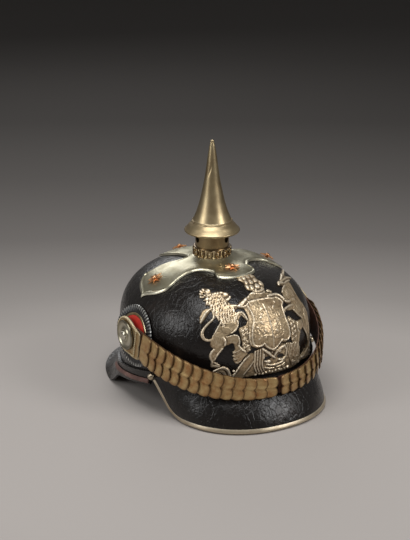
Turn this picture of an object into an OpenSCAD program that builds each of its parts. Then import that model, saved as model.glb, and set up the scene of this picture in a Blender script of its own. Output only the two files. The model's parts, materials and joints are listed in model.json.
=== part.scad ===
// Spiked leather dress helmet with a cruciform spike base, a front plate, two visors and scaled chin strap.
// Millimetres. Z is up, the spike stands on the Z axis, the front faces -Y and the wearer's right is -X.
// The helmet rests on the floor, z = 0, on its front visor's trim and on the lip of its neck guard.

/* [Skull] */
// Half width of the skull, side to side
skull_half_w = 90; // [84:0.5:96]
// Half length of the skull, front to back
skull_half_l = 103; // [97:0.5:110]
// How far the middle of the skull lies in front of the spike
skull_lead = 4.5; // [2:0.5:7]
// Height at which the straight wall turns into the dome
dome_base_z = 63.7; // [61:0.1:67]
// Rise of the dome above that height
dome_rise = 66; // [62:0.5:70]
// Thickness of the leather skull
skull_wall = 3; // [2.4:0.1:3.6]
// Height of the skull's rim above the floor at the front
rim_front_z = 38; // [35:0.5:41]
// Fall of the rim towards the back, per mm of length
rim_fall = 0.21; // [0.17:0.01:0.23]
// Radius of the air hole in the top of the skull
crown_hole_r = 12; // [9:0.5:12.5]

/* [Visors] */
// Thickness of the visor and neck guard leather
visor_t = 2.4; // [2:0.1:2.8]
// Reach of the front visor beyond the front of the skull
visor_reach = 25.5; // [22:0.5:30]
// Half width of the front visor between its corners
visor_half_w = 78; // [74:0.5:82]
// How far in front of the spike the visor's corners lie
visor_corner_y = 58; // [54:0.5:62]
// Height of the stitched flange of both visors on the skull
flange_h = 6; // [5:0.5:7.5]
// Reach of the neck guard beyond the back of the skull
guard_reach = 32.5; // [29:0.1:36]
// Height of the narrow side band of the neck guard below the rim
side_band_h = 9; // [7:0.5:10]
// Thickness of the leather edge strip along each side
edge_strip_t = 1.4; // [1:0.1:1.8]
// Thickness of the metal of the visor's trim
trim_t = 0.8; // [0.6:0.1:1]
// How far the trim reaches up over the visor
trim_cover = 3; // [2.5:0.1:4]
// Radius of the ball at each end of the trim
trim_ball_r = 3.5; // [3:0.1:4]

/* [Spike base] */
// Thickness of the metal spike base
base_t = 1.2; // [0.9:0.1:1.5]
// Length of the side and back arms from the spike axis
arm_len = 79; // [75:0.5:80]
// Length of the short front arm from the spike axis
front_arm_len = 53; // [50:0.5:56]
// Half width of an arm at its widest place
arm_half_w = 23.5; // [21:0.5:25]
// Distance of that widest place from the spike axis
arm_wide_r = 63; // [60:0.5:65]
// Half width of an arm at its waist
waist_half_w = 16.5; // [15:0.5:17.5]
// Distance of the waist from the spike axis
waist_r = 45; // [43:0.5:47]
// Distance of the corner between two arms from the spike axis
corner_r = 38.5; // [36:0.5:40]
// Camber of the arms' middle over their edges
arm_camber = 1.5; // [1:0.1:2]
// Radius of the hole in the middle of the base
base_hole_r = 13; // [12.5:0.1:13.5]
// Distance of the side and back studs from the spike axis
stud_r = 62; // [59:0.5:64]
// Distance of the front stud from the spike axis
front_stud_r = 37; // [35:0.5:39]
// Outer radius of a star stud's head
star_r = 8.2; // [7:0.1:9]
// Thickness of a star stud's head
star_t = 1.2; // [1:0.1:1.6]

/* [Neck and spike] */
// Outer radius of the neck
neck_r = 16.4; // [15.8:0.1:16.9]
// Wall of the neck
neck_wall = 1.3; // [1:0.1:1.6]
// Height of the neck's foot above the floor
neck_foot_z = 132.1; // [131.8:0.1:133]
// Height of the neck
neck_h = 23.7; // [22:0.1:25]
// Radius of a vent in the neck
vent_r = 3.3; // [2.5:0.1:3.6]
// Number of pearls round the neck's foot
pearl_count = 14; // [12:1:16]
// Height of the pearl ring
pearl_ring_h = 12; // [10:0.5:13]
// Radius of the spike at its brim
brim_r = 26.9; // [25:0.1:29]
// Height of the spike from its underside to its tip
spike_h = 90.5; // [80:0.5:100]
// Wall of the hollow spike
spike_wall = 1; // [0.8:0.1:1.3]
// Radius of the spike's threaded stud at the root of its thread
screw_r = 4.1; // [3.6:0.1:4.4]
// Length of the stud below the spike
screw_len = 14; // [12:0.5:15]
// Thickness of the washer under the spike
washer_t = 1; // [0.8:0.1:1.4]

/* [Front plate] */
// Thickness of the plate's sheet metal
plate_t = 1.4; // [1.1:0.1:1.8]
// Extra height of the shield over the figures
shield_rise = 1.6; // [1:0.1:2]
// How far the plate's middle lies to the wearer's left
plate_shift = 2; // [0:0.5:3]
// Distance of each plate post from the middle of the plate
post_x = 38; // [37:0.5:39]
// Height of the plate posts above the floor
post_z = 93; // [92:0.5:94]

/* [Cockades and rosettes] */
// Height of the rosettes above the floor
rosette_z = 69.3; // [68:0.1:71]
// How far in front of the spike the rosettes lie
rosette_y = 1.7; // [0:0.1:4]
// Outer radius of a rosette
rosette_r = 14.8; // [13.5:0.1:16]
// Outer radius of a cockade
cockade_r = 30; // [28:0.5:31]
// Outer radius of a cockade's middle band
cockade_band_r = 22.8; // [21.5:0.1:24]
// Outer radius of a cockade's centre
cockade_centre_r = 20.3; // [19:0.1:21]
// Number of teeth round a cockade
cockade_teeth = 56; // [48:1:64]
// Thickness of a cockade
cockade_t = 1; // [0.8:0.1:1.1]
// Radius of the screw post through rosette and skull
rosette_post_r = 2.6; // [2.2:0.1:3]

/* [Chin strap] */
// Gap between the skull's side and the strap's backing
strap_standoff = 3.4; // [3.3:0.1:4]
// Gap between the skull's front and the strap's backing
strap_front_gap = 8.8; // [8.3:0.1:10]
// Thickness of the leather backing
strap_t = 1.6; // [1.3:0.1:1.8]
// Width of the strap beside the rosette
strap_w = 30; // [27:0.5:31]
// Width of the strap at the front
strap_front_w = 18.5; // [17:0.5:20]
// Height of the strap's middle line at the front
strap_front_z = 39; // [38.5:0.5:41]
// Radius of the strap's round end
strap_end_r = 18; // [17:0.1:20]
// Number of scales on each half
scale_count = 14; // [12:1:15]
// Thickness of a scale
scale_t = 0.9; // [0.7:0.1:1]
// Tilt of each scale over the next
scale_tilt = 8; // [7.5:0.1:9]

/* [Lining] */
// Thickness of the sweatband
sweatband_t = 1.6; // [1.2:0.1:2]
// Height of the sweatband
sweatband_h = 32; // [28:0.5:32]
// Number of lining tongues
tongue_count = 10; // [8:1:12]
// Thickness of a tongue
tongue_t = 1.3; // [1:0.1:1.6]

/* [Fits] */
// Gap between two curved skins that lie on each other
skin_gap = 0.3; // [0.2:0.05:0.4]
// Radial gap round a post that is drawn tight by a nut
post_gap = 0.3; // [0.2:0.05:0.4]
// Depth of the thread between the spike's stud and its socket, left open
thread_gap = 0.9; // [0.8:0.02:1]
// Gap between flat faces that turn on each other
face_gap = 0.2; // [0.15:0.05:0.3]

/* [Hidden] */
$fn = 48;

// Exponents of the dome's plan and rise: 2 would be an ellipsoid
plan_pow = 2.33;
rise_pow = 2.49;
// Steps of the skins round the skull and up it
skull_cols = 60;
wall_rows = 2;
dome_rows = 9;
// The rim is level in front of the first line, falls behind it and levels out behind the second
rim_turn_y = -37;
rim_level_y = 40;
// Azimuth steps from the front to the visors' meeting point at each side
meet_y = -36;
meet_angle = acos((-meet_y - skull_lead) / skull_half_l);
corner_angle = acos((visor_corner_y - skull_lead) / skull_half_l);
visor_steps = 14;
side_steps = 5;
slope_rows = 4;
visor_edge_z = 2.2;
visor_plan_pow = 2.2;
// The neck guard starts just behind the front visor
guard_angle = 180 - meet_angle - 1.2;
guard_steps = 18;
guard_flare_angle = 80;
lip_drop_angle = 74;
lip_flat_angle = 58;
lip_sink = 0.3;
side_flange_h = 4;
strip_start = 4;
strip_end_angle = 70;
strip_steps = 8;
big = 400;

// Height of the skull's rim at a place along the helmet
function rim_z(y) =
    let (slope_end = rim_level_y - rim_turn_y, u = max(0, y - rim_turn_y), w = max(0, u - slope_end),
         run = skull_half_l - skull_lead - rim_level_y)
    rim_front_z - rim_fall * (min(u, slope_end) + w - w * w / (2 * run));
function mix(a, b, t) = a + (b - a) * t;
function unit(v) = v / norm(v);
function smooth(t) = let (c = min(max(t, 0), 1)) c * c * (3 - 2 * c);

// Point on the skull's straight wall at an azimuth, d outside its face
function wall_pt(az, z, d) = [(skull_half_w + d) * cos(az), -skull_lead + (skull_half_l + d) * sin(az), z];
// Point on the dome at an azimuth and an elevation
function dome_pt(az, e, d) =
    let (k = pow(cos(e), 2 / plan_pow))
    [(skull_half_w + d) * k * cos(az), -skull_lead + (skull_half_l + d) * k * sin(az),
     dome_base_z + (dome_rise + d) * pow(sin(e), 2 / rise_pow)];
// Height of the dome over a point of the plan
function dome_z(x, y, d) =
    let (rho = norm([x / (skull_half_w + d), (y + skull_lead) / (skull_half_l + d)]))
    dome_base_z + (dome_rise + d) * pow(max(1 - pow(rho, plan_pow), 0), 1 / rise_pow);
// Place of the skull's front face behind a point of the front view
function front_y(x, z, d) =
    let (w = max(z - dome_base_z, 0) / (dome_rise + d),
         k = pow(1 - pow(w, rise_pow), 1 / plan_pow))
    -skull_lead - (skull_half_l + d) * sqrt(max(k * k - pow(x / (skull_half_w + d), 2), 0));
// Outward direction of the skull's wall in plan
function wall_out(az) = unit([cos(az) / skull_half_w, sin(az) / skull_half_l, 0]);

// Triangles of a grid of rows and columns, closed across the columns
function grid_faces(rows, cols, wrap) =
    [for (r = [0 : rows - (wrap ? 1 : 2)], c = [0 : cols - 1])
        let (r2 = (r + 1) % rows, c2 = (c + 1) % cols,
             p = r * cols + c, q = r * cols + c2, s = r2 * cols + c2, t = r2 * cols + c)
        each [[p, t, s], [p, s, q]]];
// A ring-shaped skin: rows of points that close on themselves both ways
module ring_skin(rows) {
    polyhedron(points = [for (r = rows) each r], faces = grid_faces(len(rows), len(rows[0]), true));
}
// A bar through a list of equal loops, each an outer line and an inner line of as many points
module loft(loops) {
    n = len(loops[0]);
    k = len(loops);
    last = (k - 1) * n;
    first_cap = [for (i = [0 : n / 2 - 2]) each [[i, i + 1, n - 2 - i], [i, n - 2 - i, n - 1 - i]]];
    last_cap = [for (f = first_cap) [last + f[0], last + f[2], last + f[1]]];
    polyhedron(points = [for (l = loops) each l],
               faces = concat(grid_faces(k, n, false), first_cap, last_cap));
}

// Skull
crown_e = acos(pow(crown_hole_r / skull_half_w, plan_pow / 2));
function skull_row(j, d) =
    [for (c = [0 : skull_cols - 1])
        let (az = 360 * c / skull_cols, y = wall_pt(az, 0, 0)[1])
        j < wall_rows ? wall_pt(az, mix(rim_z(y), dome_base_z, j / wall_rows), d)
                      : dome_pt(az, crown_e * (j - wall_rows) / dome_rows, d)];
skull_top_row = wall_rows + dome_rows;
module skull() {
    color("#1b1a1c") difference() {
        ring_skin(concat([for (j = [0 : skull_top_row]) skull_row(j, 0)],
                         [for (j = [skull_top_row : -1 : 0]) skull_row(j, -skull_wall)]));
        stud_places() cylinder(r = stud_post_r + post_gap, h = 16, center = true);
        plate_places() cylinder(r = plate_post_r + post_gap, h = 24, center = true);
        both_sides() rosette_place() cylinder(r = rosette_post_r + post_gap, h = 2 * skull_half_w - 150);
        spine_places() cylinder(r = spine_post_r + post_gap, h = 16, center = true);
    }
}
// Both sides of the helmet: the right as drawn and its mirror image
module both_sides() {
    children();
    mirror([1, 0, 0]) children();
}

// Front visor. A station is a place along the skull's rim, from the right meeting point to the left one.
function visor_edge(t) =
    let (a = 90 * (1 - abs(t)))
    [sign(t) * visor_half_w * pow(cos(a), 2 / visor_plan_pow),
     -visor_corner_y - (skull_half_l + skull_lead + visor_reach - visor_corner_y) * pow(sin(a), 2 / visor_plan_pow),
     visor_edge_z];
// Azimuth of the rim point that a station hangs from, and the outer edge point there
function station_az(t) = -90 + sign(t) * (abs(t) <= 1 ? corner_angle * abs(t)
                                                      : mix(corner_angle, meet_angle - 0.3, abs(t) - 1));
function station_edge(t) =
    abs(t) <= 1 ? visor_edge(t)
                : mix(visor_edge(sign(t)), wall_pt(station_az(2 * sign(t)), rim_front_z - 2, skin_gap + visor_t),
                      abs(t) - 1);
function station_fold(t, d) = wall_pt(station_az(t), rim_front_z, skin_gap + d);
function station_out(t) =
    let (s = station_edge(t) - station_fold(t, visor_t), o = wall_out(station_az(t)),
         run = max(s * o, 0))
    unit(o * max(-s[2], 0.1) + [0, 0, run]);
stations = concat([for (i = [0 : side_steps - 1]) -2 + i / side_steps],
                  [for (i = [-visor_steps : visor_steps]) i / visor_steps],
                  [for (i = [1 : side_steps]) 1 + i / side_steps]);
function visor_line(t, d) =
    let (fold = station_fold(t, d), edge = station_edge(t) - station_out(t) * (visor_t - d))
    concat([wall_pt(station_az(t), rim_front_z + flange_h, skin_gap + d)],
           [for (i = [0 : slope_rows]) mix(fold, edge, i / slope_rows)]);
function reverse(l) = [for (i = [len(l) - 1 : -1 : 0]) l[i]];
module front_visor() {
    color("#1d1c1e") loft([for (t = stations) concat(visor_line(t, visor_t), reverse(visor_line(t, 0)))]);
}

// Metal trim: a channel that wraps the visor's edge
function trim_frame(t) =
    let (e = station_edge(t) - station_out(t) * visor_t / 2,
         step = 0.02,
         along = unit(station_edge(min(t + step, 2)) - station_edge(max(t - step, -2))),
         n = station_out(t))
    [e, unit(cross(along, n)), n];
module visor_trim() {
    inner = visor_t / 2 + skin_gap;
    outer = inner + trim_t;
    line_out = [[-trim_cover, outer], [0.5, outer], [1.1, outer * 0.6], [1.1, -outer * 0.6], [0.5, -outer],
                [-trim_cover, -outer]];
    line_in = [[-trim_cover, inner], [0.1, inner], [0.2, inner * 0.6], [0.2, -inner * 0.6], [0.1, -inner],
               [-trim_cover, -inner]];
    profile = concat(line_out, reverse(line_in));
    color("#c9b98a") difference() {
        loft([for (t = stations) if (abs(t) <= 1.85)
            let (f = trim_frame(t)) [for (p = profile) f[0] + f[1] * p[0] + f[2] * p[1]]]);
        floor_cut();
    }
}
// Everything below the floor
module floor_cut() {
    translate([-big / 2, -big / 2, -20]) cube([big, big, 20]);
}
module visor_trim_balls() {
    az = station_az(-1.93);
    centre = wall_pt(az, rim_front_z + 1, skin_gap + visor_t + skin_gap + trim_ball_r);
    color("#c9b98a") both_sides() translate(centre) sphere(r = trim_ball_r);
}

// Neck guard. An angle is counted from the back, 0, to the meeting point at each side.
function guard_flare(a) = 1.2 + (guard_reach - 1) * pow(sin(90 * max(1 - abs(a) / guard_flare_angle, 0)), 1.5);
function guard_rim(a) = rim_z(wall_pt(90 + a, 0, 0)[1]);
function guard_lip_z(a) =
    let (band = guard_rim(a) - side_band_h, f = guard_flare(a),
         floor_z = visor_t * f / norm([f, guard_rim(a)]) - lip_sink)
    mix(band, floor_z, smooth((lip_drop_angle - abs(a)) / (lip_drop_angle - lip_flat_angle)));
// Height of the guard's flange: high at the back, low under the cockades
function guard_flange(a) = mix(side_flange_h, flange_h + 3, smooth((lip_drop_angle - abs(a)) / 20));
function guard_fold(a, d) = wall_pt(90 + a, guard_rim(a) + 1, skin_gap + d);
function guard_lip(a) =
    let (p = wall_pt(90 + a, guard_lip_z(a), skin_gap + visor_t)) p + wall_out(90 + a) * guard_flare(a);
function guard_out(a) =
    let (drop = guard_fold(a, visor_t)[2] - guard_lip_z(a))
    unit(wall_out(90 + a) * max(drop, 0.1) + [0, 0, guard_flare(a)]);
// The guard leaves the skull in a hollow curve
function guard_slope(a, d, i) =
    let (fold = guard_fold(a, d), lip = guard_lip(a) - guard_out(a) * (visor_t - d),
         t = i / slope_rows, sag = 0.16 * guard_flare(a) * sin(180 * t))
    mix(fold, lip, t) - guard_out(a) * sag;
function guard_line(a, d) =
    concat([wall_pt(90 + a, guard_rim(a) + guard_flange(a), skin_gap + d)],
           [for (i = [0 : slope_rows]) guard_slope(a, d, i)]);
module neck_guard() {
    color("#1d1c1e") difference() {
        loft([for (i = [-guard_steps : guard_steps])
            let (a = guard_angle * i / guard_steps) concat(guard_line(a, visor_t), reverse(guard_line(a, 0)))]);
        floor_cut();
    }
}
// Reddish leather strip along the lower edge of each side
module edge_strips() {
    color("#5a3630") both_sides() loft([for (i = [0 : strip_steps])
        let (a = mix(strip_end_angle, guard_angle - strip_start, i / strip_steps), o = guard_out(a),
             top = guard_fold(a, visor_t), lip = guard_lip(a), off = skin_gap + 0.2)
        [mix(top, lip, 0.05) + o * (off + edge_strip_t), mix(top, lip, 1) + o * (off + edge_strip_t),
         mix(top, lip, 1) + o * off, mix(top, lip, 0.05) + o * off]]);
}

// Rear spine: a metal strip down the back, from under the back arm to the guard's lip
spine_top_e = acos(pow((arm_len + skull_lead + 3.7) / skull_half_l, plan_pow / 2));
spine_dome_steps = 7;
spine_w = 9;
spine_t = 1.1;
function spine_path() =
    concat([for (i = [0 : spine_dome_steps]) dome_pt(90, spine_top_e * (1 - i / spine_dome_steps), skin_gap)],
           [for (z = [52, 40]) wall_pt(90, z, skin_gap)],
           [wall_pt(90, guard_rim(0) + flange_h + 8, skin_gap)],
           [for (z = [flange_h + 3.3, 4]) wall_pt(90, guard_rim(0) + z, 2 * skin_gap + visor_t)],
           [for (i = [1 : slope_rows]) guard_slope(0, visor_t, i) + guard_out(0) * skin_gap]);
module rear_spine() {
    p = spine_path();
    n = len(p);
    color("#c9b98a") difference() {
        loft([for (i = [0 : n - 1])
            let (along = unit(p[min(i + 1, n - 1)] - p[max(i - 1, 0)]), out = cross(along, [-1, 0, 0]),
                 w = [mix(spine_w, spine_w - 2, i / n) / 2, 0, 0])
            [p[i] + out * spine_t - w, p[i] + out * spine_t + w, p[i] + w, p[i] - w]]);
        spine_places() cylinder(r = spine_post_r + post_gap, h = 16, center = true);
        floor_cut();
    }
}
// The two screws of the spine: a frame at each, with its Z axis pointing out of the skull
spine_post_r = 1.5;
spine_screw_z = [96, 56];
module spine_places() {
    for (z = spine_screw_z) {
        w = max(z - dome_base_z, 0) / dome_rise;
        e = asin(pow(w, rise_pow / 2));
        p = dome_pt(90, e, 0);
        lean = z > dome_base_z ? atan2(p[1] - dome_pt(90, e + 1, 0)[1], dome_pt(90, e + 1, 0)[2] - p[2]) : 0;
        translate([0, p[1], z]) rotate([lean - 90, 0, 0]) children();
    }
}
module rear_spine_screws() {
    top = skin_gap + spine_t + 0.2;
    color("#c9b98a") spine_places() {
        translate([0, 0, top]) intersection() {
            translate([0, 0, -2.6]) sphere(r = 4);
            cylinder(r = 3.4, h = 3);
        }
        translate([0, 0, -skull_wall - 4]) cylinder(r = spine_post_r, h = skull_wall + 4.1 + top);
    }
}
module rear_spine_nuts() {
    color("#b9a878") spine_places() translate([0, 0, -skull_wall - 3.2]) nut(spine_post_r);
}
// Square nut with its bore, 2.4 high, on its own Z axis
module nut(r) {
    difference() {
        translate([-3.6, -3.6, 0]) cube([7.2, 7.2, 2.4]);
        translate([0, 0, -1]) cylinder(r = r + 0.1, h = 5);
    }
}

// Spike base: half of an arm's outline, from its tip to the corner between two arms
function arm_half(len, wide, wide_at, narrow, narrow_at, tip) =
    concat([[len, 0], [len - tip, wide * 0.14], [mix(wide_at, len, 0.55), wide * 0.72]],
           [[wide_at + 3, wide * 0.95], [wide_at - 1, wide], [mix(wide_at, narrow_at, 0.45), mix(wide, narrow, 0.4)]],
           [[narrow_at, narrow], [narrow_at * 0.86, narrow * 1.02]]);
side_arm = arm_half(arm_len, arm_half_w, arm_wide_r, waist_half_w, waist_r, 2);
front_arm = [[front_arm_len, 0], [front_arm_len - 0.3, 7], [front_arm_len - 1.5, 13], [front_arm_len - 4, 19],
             [front_arm_len - 8, 21.5], [front_arm_len - 12, 20], [waist_r * 0.83, waist_half_w * 1.02]];
corner = [corner_r * cos(45), corner_r * sin(45)];
function turn(p, a) = [p[0] * cos(a) - p[1] * sin(a), p[0] * sin(a) + p[1] * cos(a)];
function flip(l) = [for (p = l) [p[0], -p[1]]];
function whole_arm(h, a) =
    [for (p = concat(reverse([for (i = [1 : len(h) - 1]) flip(h)[i]]), h)) turn(p, a)];
arms = [front_arm, side_arm, side_arm, side_arm];
outline_knots = [for (k = [0 : 3]) each concat(whole_arm(arms[k], 90 * k - 90), [turn(corner, 90 * k - 90)])];
// A smooth line through knots, closed on itself, with some steps between each two
function curve_pt(a, b, c, d, t) =
    0.5 * (2 * b + (c - a) * t + (2 * a - 5 * b + 4 * c - d) * t * t + (3 * b - a - 3 * c + d) * t * t * t);
base_outline = let (n = len(outline_knots), m = 2)
    [for (i = [0 : n - 1], s = [0 : m - 1])
        curve_pt(outline_knots[(i + n - 1) % n], outline_knots[i], outline_knots[(i + 1) % n],
                 outline_knots[(i + 2) % n], s / m)];
base_rings = 7;
neck_foot_r = neck_r + 2.1;
flare_run = 6;
// Height of the base's top face: the dome under it, the camber of the arms and the flare up to the neck's foot
function base_top_z(x, y, s) =
    let (arm = dome_z(x, y, skin_gap + base_t) + arm_camber * (1 - pow(s, 4)),
         flare = exp(-max(norm([x, y]) - neck_foot_r - 0.4, 0) / flare_run))
    mix(arm, neck_foot_z - 0.1, flare);
function base_row(i, drop) =
    let (s = max(i - 1, 0) / (base_rings - 1))
    [for (q = base_outline)
        let (p = i == 0 ? unit(q) * base_hole_r : mix(unit(q) * (neck_foot_r + 0.4), q, s))
        [p[0], p[1], base_top_z(p[0], p[1], s) - drop]];
module spike_base() {
    color("#b9b091") difference() {
        ring_skin(concat([for (i = [base_rings : -1 : 0]) base_row(i, 0)],
                         [for (i = [0 : base_rings]) base_row(i, base_t)]));
        stud_places() cylinder(r = stud_post_r + post_gap, h = 16, center = true);
    }
}

// Star studs: a frame at each, on the base's top, with its Z axis square to the dome
stud_post_r = 1.5;
stud_seat = skin_gap + base_t + arm_camber * 0.85 + 0.35;
function stud_radius(a) = a == -90 ? front_stud_r : stud_r;
module stud_places() {
    for (a = [-90, 0, 90, 180]) {
        r = stud_radius(a);
        x = r * cos(a);
        y = r * sin(a);
        z = dome_z(x, y, 0);
        fall = (dome_z(x * 0.98, y * 0.98, 0) - dome_z(x * 1.02, y * 1.02, 0)) / (r * 0.04);
        translate([x, y, z]) rotate([0, 0, a]) rotate([0, atan(fall), 0]) children();
    }
}
module star_studs() {
    points = 8;
    color("#c98a4a") stud_places() {
        translate([0, 0, stud_seat]) {
            linear_extrude(star_t) polygon([for (i = [0 : 2 * points - 1])
                let (r = i % 2 == 0 ? star_r : star_r * 0.45, a = 180 * i / points) [r * cos(a), r * sin(a)]]);
            translate([0, 0, star_t - 1.4]) intersection() {
                sphere(r = 2.9);
                translate([0, 0, 1.2]) cylinder(r = 4, h = 4);
            }
        }
        translate([0, 0, -skull_wall - 4]) cylinder(r = stud_post_r, h = skull_wall + 4.2 + stud_seat);
    }
}
module star_stud_nuts() {
    color("#b9a878") stud_places() translate([0, 0, -skull_wall - 3.2]) nut(stud_post_r);
}

// Neck with its foot, spigot and three vents
neck_top_z = neck_foot_z + neck_h;
vent_azimuths = [178, -62, 58];
module neck() {
    inner = neck_r - neck_wall;
    spigot = base_hole_r - 0.3;
    color("#c2b283") difference() {
        rotate_extrude() polygon([[spigot - 1.2, neck_foot_z - 2.4], [spigot, neck_foot_z - 2.4], [spigot, neck_foot_z],
                                  [neck_foot_r - 0.2, neck_foot_z], [neck_foot_r, neck_foot_z + 0.7],
                                  [neck_r, neck_foot_z + 1.1], [neck_r, neck_top_z], [inner, neck_top_z],
                                  [inner, neck_foot_z + 1.2], [spigot - 1.2, neck_foot_z + 1.2]]);
        for (a = vent_azimuths) rotate([0, 0, a]) translate([inner - 2, 0, neck_top_z - vent_r - 1.6])
            rotate([0, 90, 0]) cylinder(r = vent_r, h = 8);
    }
}
// Ring of upright pearls round the neck's foot
module pearl_ring() {
    seat = neck_r + 0.2;
    z = neck_foot_z + 1.3;
    mid = z + pearl_ring_h / 2;
    color("#b89a63") {
        rotate_extrude() polygon([[seat, z], [seat + 1, z], [seat + 1, z + pearl_ring_h], [seat, z + pearl_ring_h]]);
        for (i = [0 : pearl_count - 1]) rotate([0, 0, 360 * i / pearl_count]) {
            translate([seat + 0.5, 0, mid]) rotate([0, 90, 0]) cylinder(r = 3.4, h = 1.3);
            translate([seat + 0.5, 0, mid]) rotate([0, 90, 0]) cylinder(r = 2, h = 2);
        }
    }
}
// Bridge in the neck: a disc with air holes, and the threaded socket set in it that the spike screws into
bridge_h = screw_len - 2;
bridge_z = neck_top_z - bridge_h - 1;
bridge_t = 2;
socket_r = screw_r + thread_gap + 2;
air_holes = 6;
air_hole_r = 3;
module spike_bridge() {
    outer = neck_r - neck_wall - 0.1;
    hole = socket_r + 0.1;
    color("#b9a878") difference() {
        translate([0, 0, bridge_z]) cylinder(r = outer, h = bridge_t);
        translate([0, 0, bridge_z - 1]) cylinder(r = hole, h = bridge_t + 2);
        for (i = [0 : air_holes - 1]) rotate([0, 0, 360 * i / air_holes])
            translate([(hole + outer) / 2, 0, bridge_z - 1]) cylinder(r = air_hole_r, h = bridge_t + 2);
    }
}
module spike_socket() {
    color("#b9a878") translate([0, 0, bridge_z]) difference() {
        cylinder(r = socket_r, h = bridge_h);
        translate([0, 0, -1]) cylinder(r = screw_r + thread_gap, h = bridge_h + 2);
    }
}
module spike_washer() {
    z = neck_top_z + face_gap;
    color("#4a3526") translate([0, 0, z]) difference() {
        cylinder(r = neck_r, h = washer_t);
        translate([0, 0, -1]) cylinder(r = neck_r - 3.4, h = washer_t + 2);
    }
}

// Spike: radius at each height above its underside, as shares of the brim and the height
spike_z = neck_top_z + face_gap + washer_t + face_gap;
spike_profile = [[0.955, 0], [1, 0.012], [0.995, 0.022], [0.955, 0.034], [0.83, 0.078], [0.755, 0.1], [0.73, 0.108],
                 [0.735, 0.114], [0.715, 0.12], [0.72, 0.126], [0.69, 0.132], [0.585, 0.206], [0.452, 0.332],
                 [0.36, 0.457], [0.275, 0.584], [0.212, 0.71], [0.156, 0.836], [0.1, 0.925], [0.05, 0.975]];
function spike_line(inset) =
    [for (p = spike_profile) [max(p[0] * brim_r - inset, 0.01), spike_z + p[1] * spike_h]];
module spike() {
    outer = spike_line(0);
    inner = [for (p = spike_line(spike_wall)) if (p[0] > 1.2 && p[1] > spike_z + spike_wall) p];
    top = inner[len(inner) - 1][1];
    tip_r = 1.7;
    color("#c2b283") {
        rotate_extrude() difference() {
            polygon(concat([[0, spike_z]], outer, [[0, outer[len(outer) - 1][1]]]));
            polygon(concat([[0, spike_z + spike_wall]], [[inner[0][0], spike_z + spike_wall]], inner, [[0, top]]));
            translate([0, spike_z - 1]) square([screw_r + 0.15, spike_wall + 2]);
        }
        translate([0, 0, spike_z + spike_h - tip_r]) sphere(r = tip_r);
    }
}
module spike_stud() {
    color("#b9a878") {
        translate([0, 0, spike_z - screw_len]) cylinder(r = screw_r, h = screw_len + spike_wall + 1);
        translate([0, 0, spike_z + spike_wall + 0.1]) cylinder(r = screw_r + 4, h = 1.6);
    }
}

// Front plate: outlines from the plate's middle, seen from the front and a little above, laid on the skull
plate_view = 20;
lion = [[-25, 83], [-26, 88], [-31, 91], [-38, 91], [-43, 87], [-47, 80], [-45, 73], [-44, 64], [-47, 57], [-53, 50],
        [-56, 44], [-55, 38], [-57, 34], [-54, 27], [-56, 21], [-47, 20], [-51, 28], [-50, 33], [-44, 40], [-40, 43],
        [-37, 40], [-37, 35], [-28, 30], [-31, 40], [-31, 46], [-34, 49], [-39, 52], [-34, 56], [-29, 60], [-27, 66],
        [-21, 60], [-18, 63], [-20, 69], [-24, 72], [-17, 76], [-13, 80], [-17, 82], [-25, 77], [-29, 80]];
tail = [[-51, 48], [-58, 49], [-61, 54], [-60, 59], [-56, 64], [-59, 66], [-57, 72], [-51, 77], [-47, 76], [-48, 70],
        [-53, 66], [-57, 58], [-57, 53], [-51, 52]];
stag = [[31, 87], [34, 90], [38, 91], [37, 95], [40, 94], [42, 97], [44, 94], [48, 97], [47, 92], [44, 88], [44, 82],
        [47, 76], [51, 69], [54, 61], [55, 53], [56, 45], [57, 36], [56, 28], [58, 20], [49, 18], [52, 25], [51, 33],
        [49, 41], [46, 47], [44, 41], [41, 34], [44, 25], [37, 24], [38, 33], [38, 41], [36, 49], [31, 56], [25, 57],
        [22, 54], [19, 58], [24, 62], [27, 66], [21, 70], [16, 75], [18, 79], [27, 75], [33, 78], [35, 83]];
shield_half = [[0, 81], [5, 83], [10, 81], [17, 83], [21, 80], [20, 73], [19, 64], [20, 53], [22, 44], [19, 37],
               [11, 34], [4, 33], [0, 29]];
crown_half = [[0, 99], [4, 98], [6, 95], [8, 91], [6, 86], [5, 80], [0, 78]];
scroll = [[-57, 24], [-46, 25], [-38, 16], [-30, 21], [-20, 32], [20, 32], [30, 21], [38, 16], [48, 24], [58, 23],
          [57, 16], [44, 13], [36, 8], [20, 11], [0, 9], [-20, 11], [-36, 8], [-44, 13], [-56, 16]];
function both_halves(h) = concat(h, [for (i = [len(h) - 1 : -1 : 0]) if (h[i][0] > 0) [-h[i][0], h[i][1]]]);
band_low_z = 41;
band_cols = 22;
band_rows = 12;
// Part of the skull's front skin between two distances from it
module front_band(low, high) {
    function line(az, d) = [for (j = [0 : band_rows]) band_pt(az, j / band_rows, d)];
    function band_pt(az, t, d) = t < 0.25 ? wall_pt(az, mix(band_low_z, dome_base_z, t * 4), d)
                                         : dome_pt(az, 68 * (t - 0.25) / 0.75, d);
    loft([for (i = [0 : band_cols])
        let (az = mix(-138, -42, i / band_cols)) concat(reverse(line(az, high)), line(az, low))]);
}
module plate_cut(low, high) {
    intersection() {
        front_band(low, high);
        translate([plate_shift, 0, 0]) rotate([90 - plate_view, 0, 0]) linear_extrude(2 * skull_half_l) children();
    }
}
module front_plate() {
    color("#a98a63") {
        plate_cut(skin_gap, skin_gap + plate_t) {
            polygon(lion);
            polygon(tail);
            polygon(stag);
            polygon(both_halves(crown_half));
            polygon(scroll);
        }
        plate_cut(skin_gap, skin_gap + plate_t + shield_rise) polygon(both_halves(shield_half));
    }
}
// The plate's two posts: a frame at each on the skull's face, with its Z axis pointing out of the skull
plate_post_r = 1.5;
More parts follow.
